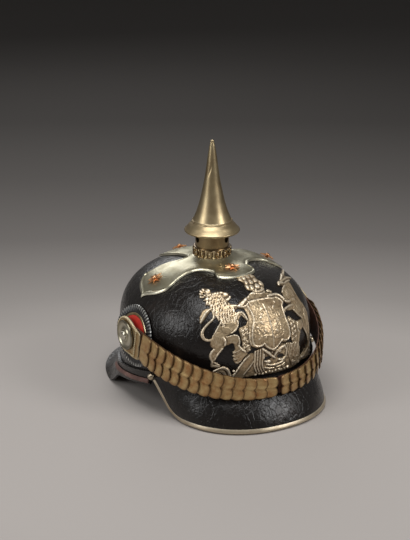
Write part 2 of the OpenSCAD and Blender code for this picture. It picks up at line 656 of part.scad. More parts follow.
// Outward direction of the dome's face at a point of it
function dome_out(p) =
    let (q = [p[0] / skull_half_w, (p[1] + skull_lead) / skull_half_l], lift = p[2] - dome_base_z,
         k = plan_pow * pow(norm(q), plan_pow - 2))
    unit([k * q[0] / skull_half_w, k * q[1] / skull_half_l, rise_pow * pow(lift / dome_rise, rise_pow - 1) / dome_rise]);
module plate_places() {
    for (s = [-1, 1]) {
        x = plate_shift + s * post_x;
        p = [x, front_y(x, post_z, 0), post_z];
        n = dome_out(p);
        translate(p) rotate([0, acos(n[2]), atan2(n[1], n[0])]) children();
    }
}
module plate_posts() {
    long = skull_wall + 4;
    color("#a98a63") plate_places() translate([0, 0, -long]) cylinder(r = plate_post_r, h = long - 0.1);
}
module plate_nuts() {
    color("#b9a878") plate_places() translate([0, 0, -skull_wall - 3.2]) nut(plate_post_r);
}

// Rosette axis on the right: a frame on the axis in the helmet's middle plane, with its Z axis pointing right
module rosette_place() {
    translate([0, -rosette_y, rosette_z]) rotate([0, -90, 0]) translate([0, 0, 80]) children();
}
// Distances along that axis, from 80 mm off the middle plane
skull_face = skull_half_w - 80;
leather_face = skull_face + strap_standoff;
end_face = leather_face + strap_t + 0.1;
rosette_face = end_face + 1.2 + face_gap;
// Cockade: a thin disc whose upper half leans in to the dome and whose front turns in. Its middle lies before the post.
cockade_face = skull_face + 1.5;
cockade_lean = 17;
cockade_bend = 18;
cockade_turn = 3.2;
cockade_front_in = 1;
cockade_forward = 5;
cockade_drop = 1.1;
cockade_hole_r = 8.3;
rib_h = 0.4;
function cockade_in(f, u) =
    let (s = max(u, 0), rise = s < cockade_bend ? s * s / (2 * cockade_bend) : s - cockade_bend / 2)
    f * tan(cockade_turn) + cockade_front_in * pow(max(f - 12, 0) / 18, 2) + tan(cockade_lean) * rise;
function cockade_pt(r, a, h) =
    let (f = r * sin(a), u = r * cos(a))
    [-(80 + cockade_face - cockade_in(f, u) + h), -rosette_y - cockade_forward - f, rosette_z - cockade_drop + u];
// A ring of the cockade: rows of radius and height over its face, then its back, with ribs on the rows asked for
module cockade_part(rows, cols, ribs) {
    inside = rows[0][0];
    outside = rows[len(rows) - 1][0];
    back = [[outside, -cockade_t], [inside, -cockade_t]];
    ring_skin([for (q = concat(rows, back)) [for (c = [0 : cols - 1])
        cockade_pt(q[0], 360 * c / cols, q[1] + (c % 2 == 0 && q[0] > ribs && q[1] >= 0 ? rib_h : 0))]]);
}
module cockade_ring() {
    r = cockade_band_r + 0.1;
    color("#1a1a1c") cockade_part([[r, 0], [r + 1, 0], [r + 1.6, 0.01], [cockade_r, 0.01]],
                                  2 * cockade_teeth, r + 1.2);
}
module cockade_band() {
    color("#b59a62") cockade_part([[cockade_centre_r + 0.1, 0], [(cockade_centre_r + cockade_band_r) / 2, 0.2],
                                   [cockade_band_r, 0]], cockade_teeth, cockade_r);
}
module cockade_centre() {
    color("#b5302c") cockade_part([[cockade_hole_r, 0], [cockade_centre_r - 5, 0], [cockade_centre_r, 0]],
                                  cockade_teeth, cockade_r);
}
// Rosette: a dished disc with a raised rim and a domed middle, bored for its post
module rosette() {
    f = rosette_face;
    r = rosette_r;
    color("#a8a595") rosette_place() rotate_extrude() polygon([
        [rosette_post_r + 0.1, f], [r - 1.2, f], [r, f + 0.8], [r, f + 2], [r - 1, f + 2.6], [r - 2.4, f + 2.2],
        [r - 4, f + 1.2], [r - 7, f + 1.2], [r - 9, f + 2.2], [rosette_post_r + 0.1, f + 3]]);
}
rosette_post_in = -skull_wall - 4.2;
module rosette_posts() {
    color("#a8a595") both_sides() rosette_place() {
        translate([0, 0, skull_face + rosette_post_in])
            cylinder(r = rosette_post_r, h = rosette_face + 3.2 - skull_face - rosette_post_in);
        translate([0, 0, rosette_face + 3.1]) intersection() {
            translate([0, 0, -2.4]) sphere(r = 4.4);
            cylinder(r = 4, h = 3);
        }
    }
}
module rosette_nuts() {
    color("#b9a878") both_sides() rosette_place() translate([0, 0, skull_face - skull_wall - 4]) difference() {
        cylinder(r = 6.2, h = 3, $fn = 6);
        translate([0, 0, -1]) cylinder(r = rosette_post_r + 0.1, h = 5);
    }
}

// Chin strap, right half. The angle runs from the rosette, 0, to the front, 90.
strap_half_w = skull_half_w + strap_standoff + strap_t;
strap_half_l = skull_half_l + skull_lead - rosette_y + strap_front_gap + strap_t;
strap_plan_pow = 2.15;
strap_fall_pow = 1.45;
strap_start = 8;
scales_start = 16.2;
scales_stop = 87.9;
leather_stop = 89.2;
strap_steps = 16;
function strap_line(a) =
    let (c = cos(a), s = sin(a),
         r = 1 / pow(pow(abs(c) / strap_half_w, strap_plan_pow) + pow(abs(s) / strap_half_l, strap_plan_pow),
                     1 / strap_plan_pow))
    [-r * c, -rosette_y - r * s, mix(rosette_z, strap_front_z, pow(abs(s), strap_fall_pow))];
function strap_width(a) = mix(strap_w, strap_front_w, pow(sin(a), 4));
// Frame at an angle: place, direction along, direction across and direction out
function strap_frame(a) =
    let (t = unit(strap_line(a + 0.5) - strap_line(a - 0.5)), n = unit(cross(t, [0, 0, 1])))
    [strap_line(a), t, cross(n, t), n];
function strap_loop(p, t, w, n, half) = [p + w * half, p - w * half, p - w * half - n * strap_t, p + w * half - n * strap_t];
module strap_leather() {
    // The straight part beside the rosette, then the part that follows the skull
    color("#54301f") difference() {
        union() {
            loft([for (i = [0 : strap_steps])
                let (a = mix(strap_start, leather_stop, i / strap_steps), f = strap_frame(a))
                strap_loop(f[0], f[1], f[2], f[3], strap_width(a) / 2 - 1)]);
            rosette_place() translate([0, 0, leather_face]) cylinder(r = strap_end_r - 0.6, h = strap_t);
        }
        rosette_place() cylinder(r = rosette_post_r + 0.5, h = 30);
    }
}
// End plate: a round end behind the rosette that narrows towards the first scale, with a beaded rim
end_reach = 22.5;
end_half_w = 14;
end_drop = 13;
module strap_end() {
    bead_r = 0.9;
    turn = acos(strap_end_r / norm([end_reach, end_half_w])) + atan2(end_half_w, end_reach);
    color("#9c9468") difference() {
        rosette_place() translate([0, 0, end_face]) rotate([0, 0, -90 - end_drop]) {
            linear_extrude(1.2) polygon(concat(
                [for (i = [0 : 40]) let (a = mix(turn, 360 - turn, i / 40)) strap_end_r * [cos(a), sin(a)]],
                lobe_edge(2 * end_half_w, end_reach, 1.6)));
            rotate([0, 0, 55]) rotate_extrude(angle = 250)
                translate([strap_end_r - bead_r - 0.3, 1.2]) circle(r = bead_r);
        }
        rosette_place() cylinder(r = rosette_post_r + 0.5, h = 30);
    }
}
// One scale, flat, with two lobes at its front edge
scale_step = (scales_stop - scales_start) / scale_count;
function lobe_edge(w, front, bulge) =
    [for (i = [0 : 12]) [front + bulge * sqrt(abs(sin(30 * i))), w * (i / 12 - 0.5)]];
module scale_plate(w, long) {
    linear_extrude(scale_t) polygon(concat([[-2.6, w / 2], [-2.6, -w / 2]], lobe_edge(w, long, 2.6)));
}
module place(f) {
    multmatrix([[f[1][0], f[2][0], f[3][0], f[0][0]],
                [f[1][1], f[2][1], f[3][1], f[0][1]],
                [f[1][2], f[2][2], f[3][2], f[0][2]]]) children();
}
module strap_scales() {
    pitch = norm(strap_line(45 + scale_step / 2) - strap_line(45 - scale_step / 2));
    color("#a98a4e") for (i = [0 : scale_count - 1]) {
        a = scales_start + scale_step * i;
        place(strap_frame(a)) translate([0, 0, 0.75]) rotate([0, -scale_tilt, 0])
            scale_plate(strap_width(a), pitch + 0.8);
    }
}
// Leather tab that joins the two halves in front, behind their backing
tab_half_w = 12;
tab_h = 10;
tab_t = 1;
module strap_tab() {
    face = strap_line(acos(tab_half_w / strap_half_w))[1] + strap_t + 0.15;
    color("#7a3a22") translate([-tab_half_w, face, strap_front_z - tab_h / 2 + 2]) cube([2 * tab_half_w, tab_t, tab_h]);
}

// Sweatband inside the rim
module sweatband() {
    function row(h, d) = [for (c = [0 : skull_cols - 1])
        let (az = 360 * c / skull_cols) wall_pt(az, rim_z(wall_pt(az, 0, 0)[1]) + h, d)];
    low = -skull_wall - skin_gap;
    high = low - 2.5;
    color("#6e4a30") ring_skin([row(2, low), row(sweatband_h, high), row(sweatband_h, high - sweatband_t),
                                row(2, low - sweatband_t)]);
}
// Lining tongues: leather fingers that rise from the sweatband to the crown
tongue_rows = 7;
tongue_cols = 4;
tongue_top_e = 62;
module lining_tongues() {
    d0 = -skull_wall - skin_gap - 2.5 - sweatband_t - 0.4;
    half = 180 / tongue_count - 2.5;
    function tongue_pt(mid, t, s, d) =
        let (az = mid + half * s * (t < 0.5 ? 1 : mix(1, 0.62, (t - 0.5) * 2)))
        t < 0.25 ? wall_pt(az, mix(rim_z(wall_pt(az, 0, 0)[1]) + sweatband_h - 8, dome_base_z + 2, t * 4), d0 + d)
                 : dome_pt(az, mix(6, tongue_top_e, (t - 0.25) / 0.75), mix(d0, d0 - 8, t) + d);
    color("#7c5a3c") for (k = [0 : tongue_count - 1]) {
        mid = 360 * (k + 0.5) / tongue_count;
        loft([for (i = [0 : tongue_rows])
            let (t = i / tongue_rows, ss = [for (j = [0 : tongue_cols]) 2 * j / tongue_cols - 1])
            concat([for (s = ss) tongue_pt(mid, t, s, 0)], [for (s = reverse(ss)) tongue_pt(mid, t, s, -tongue_t)])]);
    }
}

skull();
front_visor();
visor_trim();
visor_trim_balls();
neck_guard();
edge_strips();
rear_spine();
rear_spine_screws();
rear_spine_nuts();
spike_base();
star_studs();
star_stud_nuts();
neck();
pearl_ring();
spike_bridge();
spike_socket();
spike_washer();
spike();
spike_stud();
front_plate();
plate_posts();
plate_nuts();
cockade_ring();  // cockade_ring_right
cockade_band();  // cockade_band_right
cockade_centre();  // cockade_centre_right
mirror([1, 0, 0]) cockade_ring();  // cockade_ring_left
mirror([1, 0, 0]) cockade_band();  // cockade_band_left
mirror([1, 0, 0]) cockade_centre();  // cockade_centre_left
rosette();  // rosette_right
mirror([1, 0, 0]) rosette();  // rosette_left
rosette_posts();
rosette_nuts();
strap_leather();  // strap_leather_right
mirror([1, 0, 0]) strap_leather();  // strap_leather_left
strap_end();  // strap_end_right
mirror([1, 0, 0]) strap_end();  // strap_end_left
strap_scales();  // strap_scales_right
mirror([1, 0, 0]) strap_scales();  // strap_scales_left
strap_tab();
sweatband();
lining_tongues();
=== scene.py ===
"""Spiked leather helmet: camera, light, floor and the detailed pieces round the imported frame."""
import json
import math

import bpy
import numpy as np
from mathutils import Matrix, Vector


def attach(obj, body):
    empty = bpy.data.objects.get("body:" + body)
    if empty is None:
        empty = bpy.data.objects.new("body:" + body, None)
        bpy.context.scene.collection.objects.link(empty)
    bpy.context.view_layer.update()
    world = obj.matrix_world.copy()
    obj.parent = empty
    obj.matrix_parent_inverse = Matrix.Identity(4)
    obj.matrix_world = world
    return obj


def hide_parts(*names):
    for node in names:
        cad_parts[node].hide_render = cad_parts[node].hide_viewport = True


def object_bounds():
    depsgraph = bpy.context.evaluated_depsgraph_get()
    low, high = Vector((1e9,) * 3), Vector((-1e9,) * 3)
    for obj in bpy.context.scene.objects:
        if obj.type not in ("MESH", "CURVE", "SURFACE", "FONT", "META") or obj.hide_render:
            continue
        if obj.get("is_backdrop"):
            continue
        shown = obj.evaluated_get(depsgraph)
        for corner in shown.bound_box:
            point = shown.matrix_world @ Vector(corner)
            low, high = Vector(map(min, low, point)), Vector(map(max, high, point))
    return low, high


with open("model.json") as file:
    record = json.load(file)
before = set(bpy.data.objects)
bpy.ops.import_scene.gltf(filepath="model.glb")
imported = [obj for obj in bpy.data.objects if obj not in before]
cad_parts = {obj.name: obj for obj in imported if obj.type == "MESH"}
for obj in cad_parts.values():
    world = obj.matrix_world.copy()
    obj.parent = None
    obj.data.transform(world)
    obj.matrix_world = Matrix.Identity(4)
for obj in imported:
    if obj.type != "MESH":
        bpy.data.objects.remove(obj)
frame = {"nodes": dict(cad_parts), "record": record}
cad_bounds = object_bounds()
NODES = frame["nodes"]
MM = 0.001

# Sizes of the helmet in millimetres and degrees, as in the part's source
HALF_W, HALF_L, LEAD = 90.0, 103.0, 4.5
BASE_Z, RISE, WALL = 63.7, 66.0, 3.0
PLAN_POW, RISE_POW = 2.33, 2.49
SKIN_GAP, LEATHER_T = 0.3, 2.4
RIM_Z, RIM_FALL, RIM_TURN, RIM_LEVEL = 38.0, 0.21, -37.0, 40.0
VISOR_W, VISOR_Y, VISOR_REACH, VISOR_EDGE_Z, VISOR_POW = 78.0, 58.0, 25.5, 2.2, 2.2
MEET_ANGLE = math.degrees(math.acos((36.0 - LEAD) / HALF_L))
CORNER_ANGLE = math.degrees(math.acos((VISOR_Y - LEAD) / HALF_L))
GUARD_ANGLE = 180 - MEET_ANGLE - 1.2
GUARD_REACH, GUARD_FLARE, LIP_DROP, LIP_FLAT, SIDE_BAND = 30.5, 80.0, 74.0, 58.0, 9.0
SWEAT_H = 32.0
ROSETTE_Y, ROSETTE_Z = 1.7, 69.3
COCKADE_LEAD, COCKADE_DROP, COCKADE_TEETH = 5.0, 1.1, 28
STRAP_FRONT_Z = 39.0
PLATE_VIEW = math.radians(20)
PLATE_SHIFT = 2.0
# Directions on the wearer's right side: forward, up and out
FWD, UP, OUT = np.array([0, -1.0, 0]), np.array([0, 0, 1.0]), np.array([-1.0, 0, 0])


# Maths helpers
def cosd(a):
    return np.cos(np.radians(a))


def sind(a):
    return np.sin(np.radians(a))


def unit(v):
    v = np.asarray(v, float)
    return v / np.maximum(np.linalg.norm(v, axis=-1, keepdims=True), 1e-12)


def mix(a, b, t):
    return a + (b - a) * t


def smooth(t):
    t = np.clip(t, 0, 1)
    return t * t * (3 - 2 * t)


def bezier(a, b, c, u):
    """A point on the bow from a to c that bends towards b."""
    return (1 - u) ** 2 * a + 2 * u * (1 - u) * b + u * u * c


def vec(x, y, z):
    x, y, z = np.broadcast_arrays(np.asarray(x, float), np.asarray(y, float), np.asarray(z, float))
    return np.stack([x, y, z], -1)


def curve_through(knots, steps, closed=False):
    """Points on a smooth line through the knots."""
    k = np.asarray(knots, float)
    n = len(k)
    out = []
    for i in range(n if closed else n - 1):
        idx = [(i - 1) % n, i, (i + 1) % n, (i + 2) % n] if closed else \
              [max(i - 1, 0), i, i + 1, min(i + 2, n - 1)]
        a, b, c, d = k[idx]
        for s in range(steps):
            t = s / steps
            out.append(0.5 * (2 * b + (c - a) * t + (2 * a - 5 * b + 4 * c - d) * t ** 2
                              + (3 * b - a - 3 * c + d) * t ** 3))
    if not closed:
        out.append(k[-1])
    return np.array(out)


# The skull's surface. The wall below BASE_Z is upright and the dome above it is a rounded ellipsoid. Azimuths
# count from the wearer's left, so -90 is the front; d is the distance out from the surface.
def rim_z(y):
    """Height of the skull's rim, level at the front and lower towards the back."""
    run = HALF_L - LEAD - RIM_LEVEL
    end = RIM_LEVEL - RIM_TURN
    u = np.maximum(0, np.asarray(y, float) - RIM_TURN)
    w = np.maximum(0, u - end)
    return RIM_Z - RIM_FALL * (np.minimum(u, end) + w - w * w / (2 * run))


def wall_pt(az, z, d=0.0):
    return vec((HALF_W + d) * cosd(az), -LEAD + (HALF_L + d) * sind(az), z)


def dome_pt(az, e, d=0.0):
    k = np.power(np.maximum(cosd(e), 0), 2 / PLAN_POW)
    return vec((HALF_W + d) * k * cosd(az), -LEAD + (HALF_L + d) * k * sind(az),
               BASE_Z + (RISE + d) * np.power(sind(e), 2 / RISE_POW))


def dome_z(x, y, d=0.0):
    rho = np.hypot(x / (HALF_W + d), (y + LEAD) / (HALF_L + d))
    return BASE_Z + (RISE + d) * np.power(np.maximum(1 - rho ** PLAN_POW, 0), 1 / RISE_POW)


def dome_out(p):
    """Outward direction of the skull's face at points of it."""
    qx, qy = p[..., 0] / HALF_W, (p[..., 1] + LEAD) / HALF_L
    rho = np.maximum(np.hypot(qx, qy), 1e-6)
    k = PLAN_POW * rho ** (PLAN_POW - 2)
    lift = np.maximum(p[..., 2] - BASE_Z, 0) / RISE
    return unit(vec(k * qx / HALF_W, k * qy / HALF_L, RISE_POW * lift ** (RISE_POW - 1) / RISE))


def wall_out(az):
    return unit(vec(cosd(az) / HALF_W, sind(az) / HALF_L, 0))


# Mesh helpers
def grid_faces(k, n, wrap_k=False, wrap_n=False):
    """Four-sided faces over k rows of n points, which may close on themselves."""
    faces = []
    for i in range(k if wrap_k else k - 1):
        for j in range(n if wrap_n else n - 1):
            i2, j2 = (i + 1) % k, (j + 1) % n
            faces.append((i * n + j, i * n + j2, i2 * n + j2, i2 * n + j))
    return faces


def added(name, data):
    """A new object in the scene."""
    obj = bpy.data.objects.new(name, data)
    bpy.context.scene.collection.objects.link(obj)
    return obj


def piece(name, verts, faces, mat, body="shell", replaces=(), sharp=35):
    """A mesh piece from millimetre points, riding on a body."""
    mesh = bpy.data.meshes.new(name)
    mesh.from_pydata((np.asarray(verts, float) * MM).tolist(), [], [tuple(int(i) for i in f) for f in faces])
    mesh.validate()
    mesh.update()
    mesh.materials.append(mat)
    mesh.shade_smooth()
    mesh.set_sharp_from_angle(angle=math.radians(sharp))
    obj = added(name, mesh)
    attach(obj, body)
    if replaces:
        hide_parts(*replaces)
    return obj


def joined(parts):
    """One list of points and faces from several."""
    verts, faces, start = [], [], 0
    for v, f in parts:
        v = np.asarray(v, float).reshape(-1, 3)
        verts.append(v)
        faces += [tuple(i + start for i in face) for face in f]
        start += len(v)
    return np.concatenate(verts), faces


def tube_skin(rows, wrap_k=True):
    """Points and faces of loops of points that close on themselves, and on each other with wrap_k."""
    rows = np.asarray(rows, float)
    k, n = rows.shape[:2]
    return rows.reshape(-1, 3), grid_faces(k, n, wrap_k, True)


def thick(outer, inner, closed=False):
    """A sheet between an outer and an inner grid of points: k stations of m points."""
    outer, inner = np.asarray(outer, float), np.asarray(inner, float)
    k, m = outer.shape[:2]
    rows = np.concatenate([outer, inner[:, ::-1]], 1)
    verts, faces = tube_skin(rows, closed)
    if not closed:
        n = 2 * m
        for base, flip in ((0, False), ((k - 1) * n, True)):
            for i in range(m - 1):
                f = (base + i, base + i + 1, base + n - 2 - i, base + n - 1 - i)
                faces.append(f[::-1] if not flip else f)
    return verts, faces


def lathe(profile, cols=96, dent=None):
    """A solid of revolution about Z. The profile is a closed line of radii and heights."""
    p = np.asarray(profile, float)
    az = np.linspace(0, 360, cols, endpoint=False)
    rows = np.stack([vec(p[:, 0] * cosd(a), p[:, 0] * sind(a), p[:, 1]) for a in az])
    if dent:
        rows = dent(rows)
    return tube_skin(rows)


def ball(centre, r, rings=8, segs=14, squash=(1, 1, 1)):
    e = np.linspace(-90, 90, rings + 1)[1:-1]
    a = np.linspace(0, 360, segs, endpoint=False)
    c = np.asarray(centre, float)
    body = np.concatenate([vec(r * cosd(x) * cosd(a), r * cosd(x) * sind(a), r * sind(x)) for x in e])
    verts = np.concatenate([body, [[0, 0, -r], [0, 0, r]]]) * np.asarray(squash) + c
    n = len(body)
    faces = grid_faces(len(e), segs, False, True)
    faces += [(n, (j + 1) % segs, j) for j in range(segs)]
    top = (len(e) - 1) * segs
    faces += [(n + 1, top + j, top + (j + 1) % segs) for j in range(segs)]
    return verts, faces


def placed(part, origin, x, y, z):
    """A part drawn on its own axes, set on given ones."""
    v, f = part
    v = np.asarray(v, float).reshape(-1, 3)
    return (np.asarray(origin) + v[:, :1] * np.asarray(x) + v[:, 1:2] * np.asarray(y)
            + v[:, 2:3] * np.asarray(z)), f


def mirrored(part):
    v, f = part
    return v * np.array([-1, 1, 1]), [tuple(reversed(face)) for face in f]


def on_both_sides(name, part, mat, node, **more):
    """A piece on the wearer's right side and its mirror image on the left, each in place of a node."""
    for side, p in (("right", part), ("left", mirrored(part))):
        piece(f"{name}_{side}", *p, M[mat], replaces=[f"{node}_{side}"], **more)


# Materials
class Shader:
    """A small helper that builds one node material."""

    def __init__(self, name, base=(0.5, 0.5, 0.5), metallic=0.0, rough=0.5, **sockets):
        self.mat = bpy.data.materials.new(name)
        self.mat.use_nodes = True
        self.tree = self.mat.node_tree
        self.bsdf = self.tree.nodes["Principled BSDF"]
        self.bsdf.inputs["Base Color"].default_value = (*base, 1)
        self.bsdf.inputs["Metallic"].default_value = metallic
        self.bsdf.inputs["Roughness"].default_value = rough
        for key, value in sockets.items():
            self.bsdf.inputs[key.replace("_", " ")].default_value = value
        self.coord = self.node("ShaderNodeTexCoord").outputs["Object"]
        self.normal = None

    def node(self, kind, **values):
        n = self.tree.nodes.new(kind)
        for key, value in values.items():
            setattr(n, key, value)
        return n

    def link(self, a, b):
        self.tree.links.new(a, b)

    def stretched(self, scale=(1, 1, 1), rot=(0, 0, 0)):
        m = self.node("ShaderNodeMapping")
        m.inputs["Scale"].default_value = scale
        m.inputs["Rotation"].default_value = rot
        self.link(self.coord, m.inputs["Vector"])
        return m.outputs["Vector"]

    def noise(self, scale, detail=4.0, rough=0.55, coord=None, distortion=0.0):
        n = self.node("ShaderNodeTexNoise")
        n.inputs["Scale"].default_value = scale
        n.inputs["Detail"].default_value = detail
        n.inputs["Roughness"].default_value = rough
        n.inputs["Distortion"].default_value = distortion
        self.link(coord or self.coord, n.inputs["Vector"])
        return n.outputs["Fac"]

    def voronoi(self, scale, coord=None, feature="F1"):
        n = self.node("ShaderNodeTexVoronoi", feature=feature)
        n.inputs["Scale"].default_value = scale
        self.link(coord or self.coord, n.inputs["Vector"])
        return n.outputs["Distance"]

    def ramp(self, fac, stops):
        r = self.node("ShaderNodeValToRGB")
        e = r.color_ramp.elements
        while len(e) < len(stops):
            e.new(0.5)
        for el, (pos, col) in zip(e, stops):
            el.position = pos
            el.color = (*col, 1) if len(col) == 3 else col
        self.link(fac, r.inputs["Fac"])
        return r.outputs["Color"]

    def span(self, fac, lo, hi, a, b):
        """A number that goes from a to b as fac goes from lo to hi."""
        m = self.node("ShaderNodeMapRange")
        for key, value in zip(("From Min", "From Max", "To Min", "To Max"), (lo, hi, a, b)):
            m.inputs[key].default_value = value
        self.link(fac, m.inputs["Value"])
        return m.outputs["Result"]

    def math(self, op, a, b=0.0):
        m = self.node("ShaderNodeMath", operation=op)
        for i, value in enumerate((a, b)):
            if isinstance(value, (int, float)):
                m.inputs[i].default_value = value
            else:
                self.link(value, m.inputs[i])
        return m.outputs["Value"]

    def length(self, a, b):
        return self.math("SQRT", self.math("ADD", self.math("MULTIPLY", a, a), self.math("MULTIPLY", b, b)))

    def blend(self, share, under, over):
        """A plain colour laid over the colour below it, by a share."""
        m = self.node("ShaderNodeMix", data_type="RGBA")
        a, b = [socket for socket in m.inputs if socket.type == "RGBA"]
        self.link(share, m.inputs["Factor"])
        self.link(under, a)
        b.default_value = (*over, 1)
        return [socket for socket in m.outputs if socket.type == "RGBA"][0]

    def bump(self, height, strength, distance):
        b = self.node("ShaderNodeBump")
        b.inputs["Strength"].default_value = strength
        b.inputs["Distance"].default_value = distance
        self.link(height, b.inputs["Height"])
        if self.normal is not None:
            self.link(self.normal, b.inputs["Normal"])
        self.normal = b.outputs["Normal"]
        self.link(self.normal, self.bsdf.inputs["Normal"])

    def color(self, socket):
        self.link(socket, self.bsdf.inputs["Base Color"])

    def rough(self, socket):
        self.link(socket, self.bsdf.inputs["Roughness"])

    def metallic(self, socket):
        self.link(socket, self.bsdf.inputs["Metallic"])


def black_leather():
    """Lacquered leather with fine crinkles. Its gloss is a coat that follows the same bumps."""
    s = Shader("black_leather", rough=0.4, Specular_IOR_Level=0.22, Coat_Weight=0.4, Coat_Roughness=0.14)
    folds = s.noise(46, 7, 0.66, s.stretched((1.5, 1.5, 0.7)), 1.6)
    crinkles = s.noise(130, 3, 0.5, s.stretched((1.0, 1.0, 2.0)), 1.2)
    cracks = s.span(s.voronoi(120, s.stretched((1.4, 1.4, 0.6)), "DISTANCE_TO_EDGE"), 0.0, 0.06, 0.0, 1.0)
    black, brown, wear_and_glint = (0.004, 0.003, 0.0026), (0.009, 0.0068, 0.0055), (0.03, 0.02, 0.015)
    s.color(s.ramp(s.noise(26, 6, 0.6), [(0.3, black), (0.62, brown), (0.82, wear_and_glint)]))
    s.rough(s.span(s.noise(42, 5, 0.65), 0.3, 0.75, 0.2, 0.38))
    for height, strength, distance in ((folds, 0.55, 0.0011), (crinkles, 0.5, 0.0006), (cracks, 0.35, 0.0003),
                                       (s.voronoi(900), 0.12, 0.0002)):
        s.bump(height, strength, distance)
    s.link(s.normal, s.bsdf.inputs["Coat Normal"])
    return s.mat


def worn_leather(name, dark, base, light, scale):
    """Bare leather in patches of three tones."""
    s = Shader(name, rough=0.6)
    s.color(s.ramp(s.noise(scale, 7, 0.65), [(0.28, dark), (0.52, base), (0.76, light)]))
    s.rough(s.span(s.noise(scale * 2, 4), 0.3, 0.7, 0.48, 0.72))
    s.bump(s.voronoi(1100), 0.25, 0.0003)
    s.bump(s.noise(scale * 3, 6, 0.7), 0.35, 0.0006)
    return s.mat


def metal(name, base, tarnish, bright, rough, patch=55, highlight_and_wear=1.0, shade_and_grime=0.45, clean=1.0, chased=0.0):
    """Old metal: patches of tarnish, raised edges painted brighter as a painted highlight with wear, hollows
    painted darker as painted shade with grime, and fine scratches.

    A dulled metal has a clean share below 1, and a chased one has small tool marks all over.
    """
    s = Shader(name, base=base, metallic=clean, rough=rough[0])
    patches = s.ramp(s.noise(patch, 6, 0.65), [(0.32, tarnish), (0.6, base)])
    point = s.node("ShaderNodeNewGeometry").outputs["Pointiness"]
    # Pointiness picks out the hollows, which get painted shade with grime, and the crests, which get a
    # painted highlight with wear
    hollow = s.span(point, 0.44, 0.5, shade_and_grime, 0.0)
    crest_highlight = s.span(point, 0.505, 0.56, 0.0, highlight_and_wear)
    shaded = s.blend(hollow, patches, tuple(c * 0.25 for c in tarnish))
    s.color(s.blend(crest_highlight, shaded, bright))
    s.rough(s.span(s.noise(patch * 1.7, 6, 0.7), 0.3, 0.75, rough[0], rough[1]))
    s.bump(s.noise(420, 3, 0.6), 0.06, 0.0004)
    s.bump(s.noise(90, 2, 0.5, s.stretched((1, 1, 9))), 0.05, 0.0003)
    if chased:
        s.bump(s.noise(330, 5, 0.7, distortion=0.6), chased, 0.0012)
    return s.mat


def red_paint():
    red, dark = (0.62, 0.045, 0.03), (0.42, 0.025, 0.02)
    s = Shader("cockade_red", base=red, rough=0.36)
    s.color(s.ramp(s.noise(120, 6, 0.7), [(0.3, dark), (0.55, red)]))
    s.bump(s.noise(500, 3), 0.08, 0.0003)
    return s.mat


def milled_black():
    """Black lacquer, with a painted highlight of bright metal on the outer ends of the cockade's teeth, where
    light glints on their ridges.
    """
    s = Shader("cockade_black", rough=0.3)
    xyz = s.node("ShaderNodeSeparateXYZ")
    s.link(s.coord, xyz.inputs[0])
    forward = s.math("ADD", xyz.outputs["Y"], (ROSETTE_Y + COCKADE_LEAD) * MM)
    rise = s.math("ADD", xyz.outputs["Z"], -(ROSETTE_Z - COCKADE_DROP) * MM)
    turn = s.math("MULTIPLY", s.math("ARCTAN2", forward, rise), float(COCKADE_TEETH))
    tooth = s.math("ABSOLUTE", s.math("COSINE", turn))
    outer_end = s.span(s.length(forward, rise), 0.0262, 0.0285, 0.0, 1.0)
    # Painted highlight: the outer ends of the teeth turn pale metal
    wear_and_glint = s.math("MULTIPLY", outer_end, s.span(tooth, 0.72, 0.9, 0.0, 1.0))
    wear_and_glint = s.math("MULTIPLY", wear_and_glint, s.span(s.noise(110, 3), 0.36, 0.56, 0.15, 1.0))
    lacquer = s.ramp(s.noise(120, 6, 0.7), [(0.3, (0.008, 0.008, 0.008)), (0.6, (0.018, 0.018, 0.019))])
    s.color(s.blend(wear_and_glint, lacquer, (0.72, 0.72, 0.68)))
    s.metallic(wear_and_glint)
    s.bump(s.noise(500, 3), 0.08, 0.0003)
    return s.mat


def chased_metal():
    """Pale gilt metal with painted shade in the hollows and painted highlights on the crests, from the
    relief's own heights.
    """
    s = Shader("plate_metal", rough=0.4, metallic=0.7)
    patches = s.ramp(s.noise(70, 6, 0.65), [(0.3, (0.42, 0.29, 0.165)), (0.62, (0.61, 0.475, 0.295))])
    hollow = s.node("ShaderNodeAttribute", attribute_name="hollow").outputs["Fac"]
    crest_highlight = s.node("ShaderNodeAttribute", attribute_name="crest_highlight").outputs["Fac"]
    # Painted shade: the hollows darken to a near-black brown
    shaded = s.blend(hollow, patches, (0.055, 0.034, 0.02))
    # Painted highlight: the crests turn pale gold
    s.color(s.blend(crest_highlight, shaded, (0.92, 0.81, 0.63)))
    s.rough(s.span(s.noise(120, 6, 0.7), 0.3, 0.75, 0.28, 0.45))
    s.bump(s.noise(420, 4, 0.65), 0.2, 0.0006)
    return s.mat


# Leathers: dark, middle and light tone, and the scale of the patches
LEATHERS = {
    "strip_leather": ((0.05, 0.025, 0.022), (0.15, 0.075, 0.06), (0.32, 0.2, 0.17), 90),
    "strap_leather": ((0.03, 0.012, 0.008), (0.10, 0.04, 0.022), (0.22, 0.10, 0.05), 80),
    "lining_leather": ((0.10, 0.06, 0.035), (0.26, 0.165, 0.095), (0.42, 0.29, 0.18), 45),
    "washer_leather": ((0.02, 0.012, 0.008), (0.09, 0.055, 0.035), (0.2, 0.13, 0.09), 90),
}
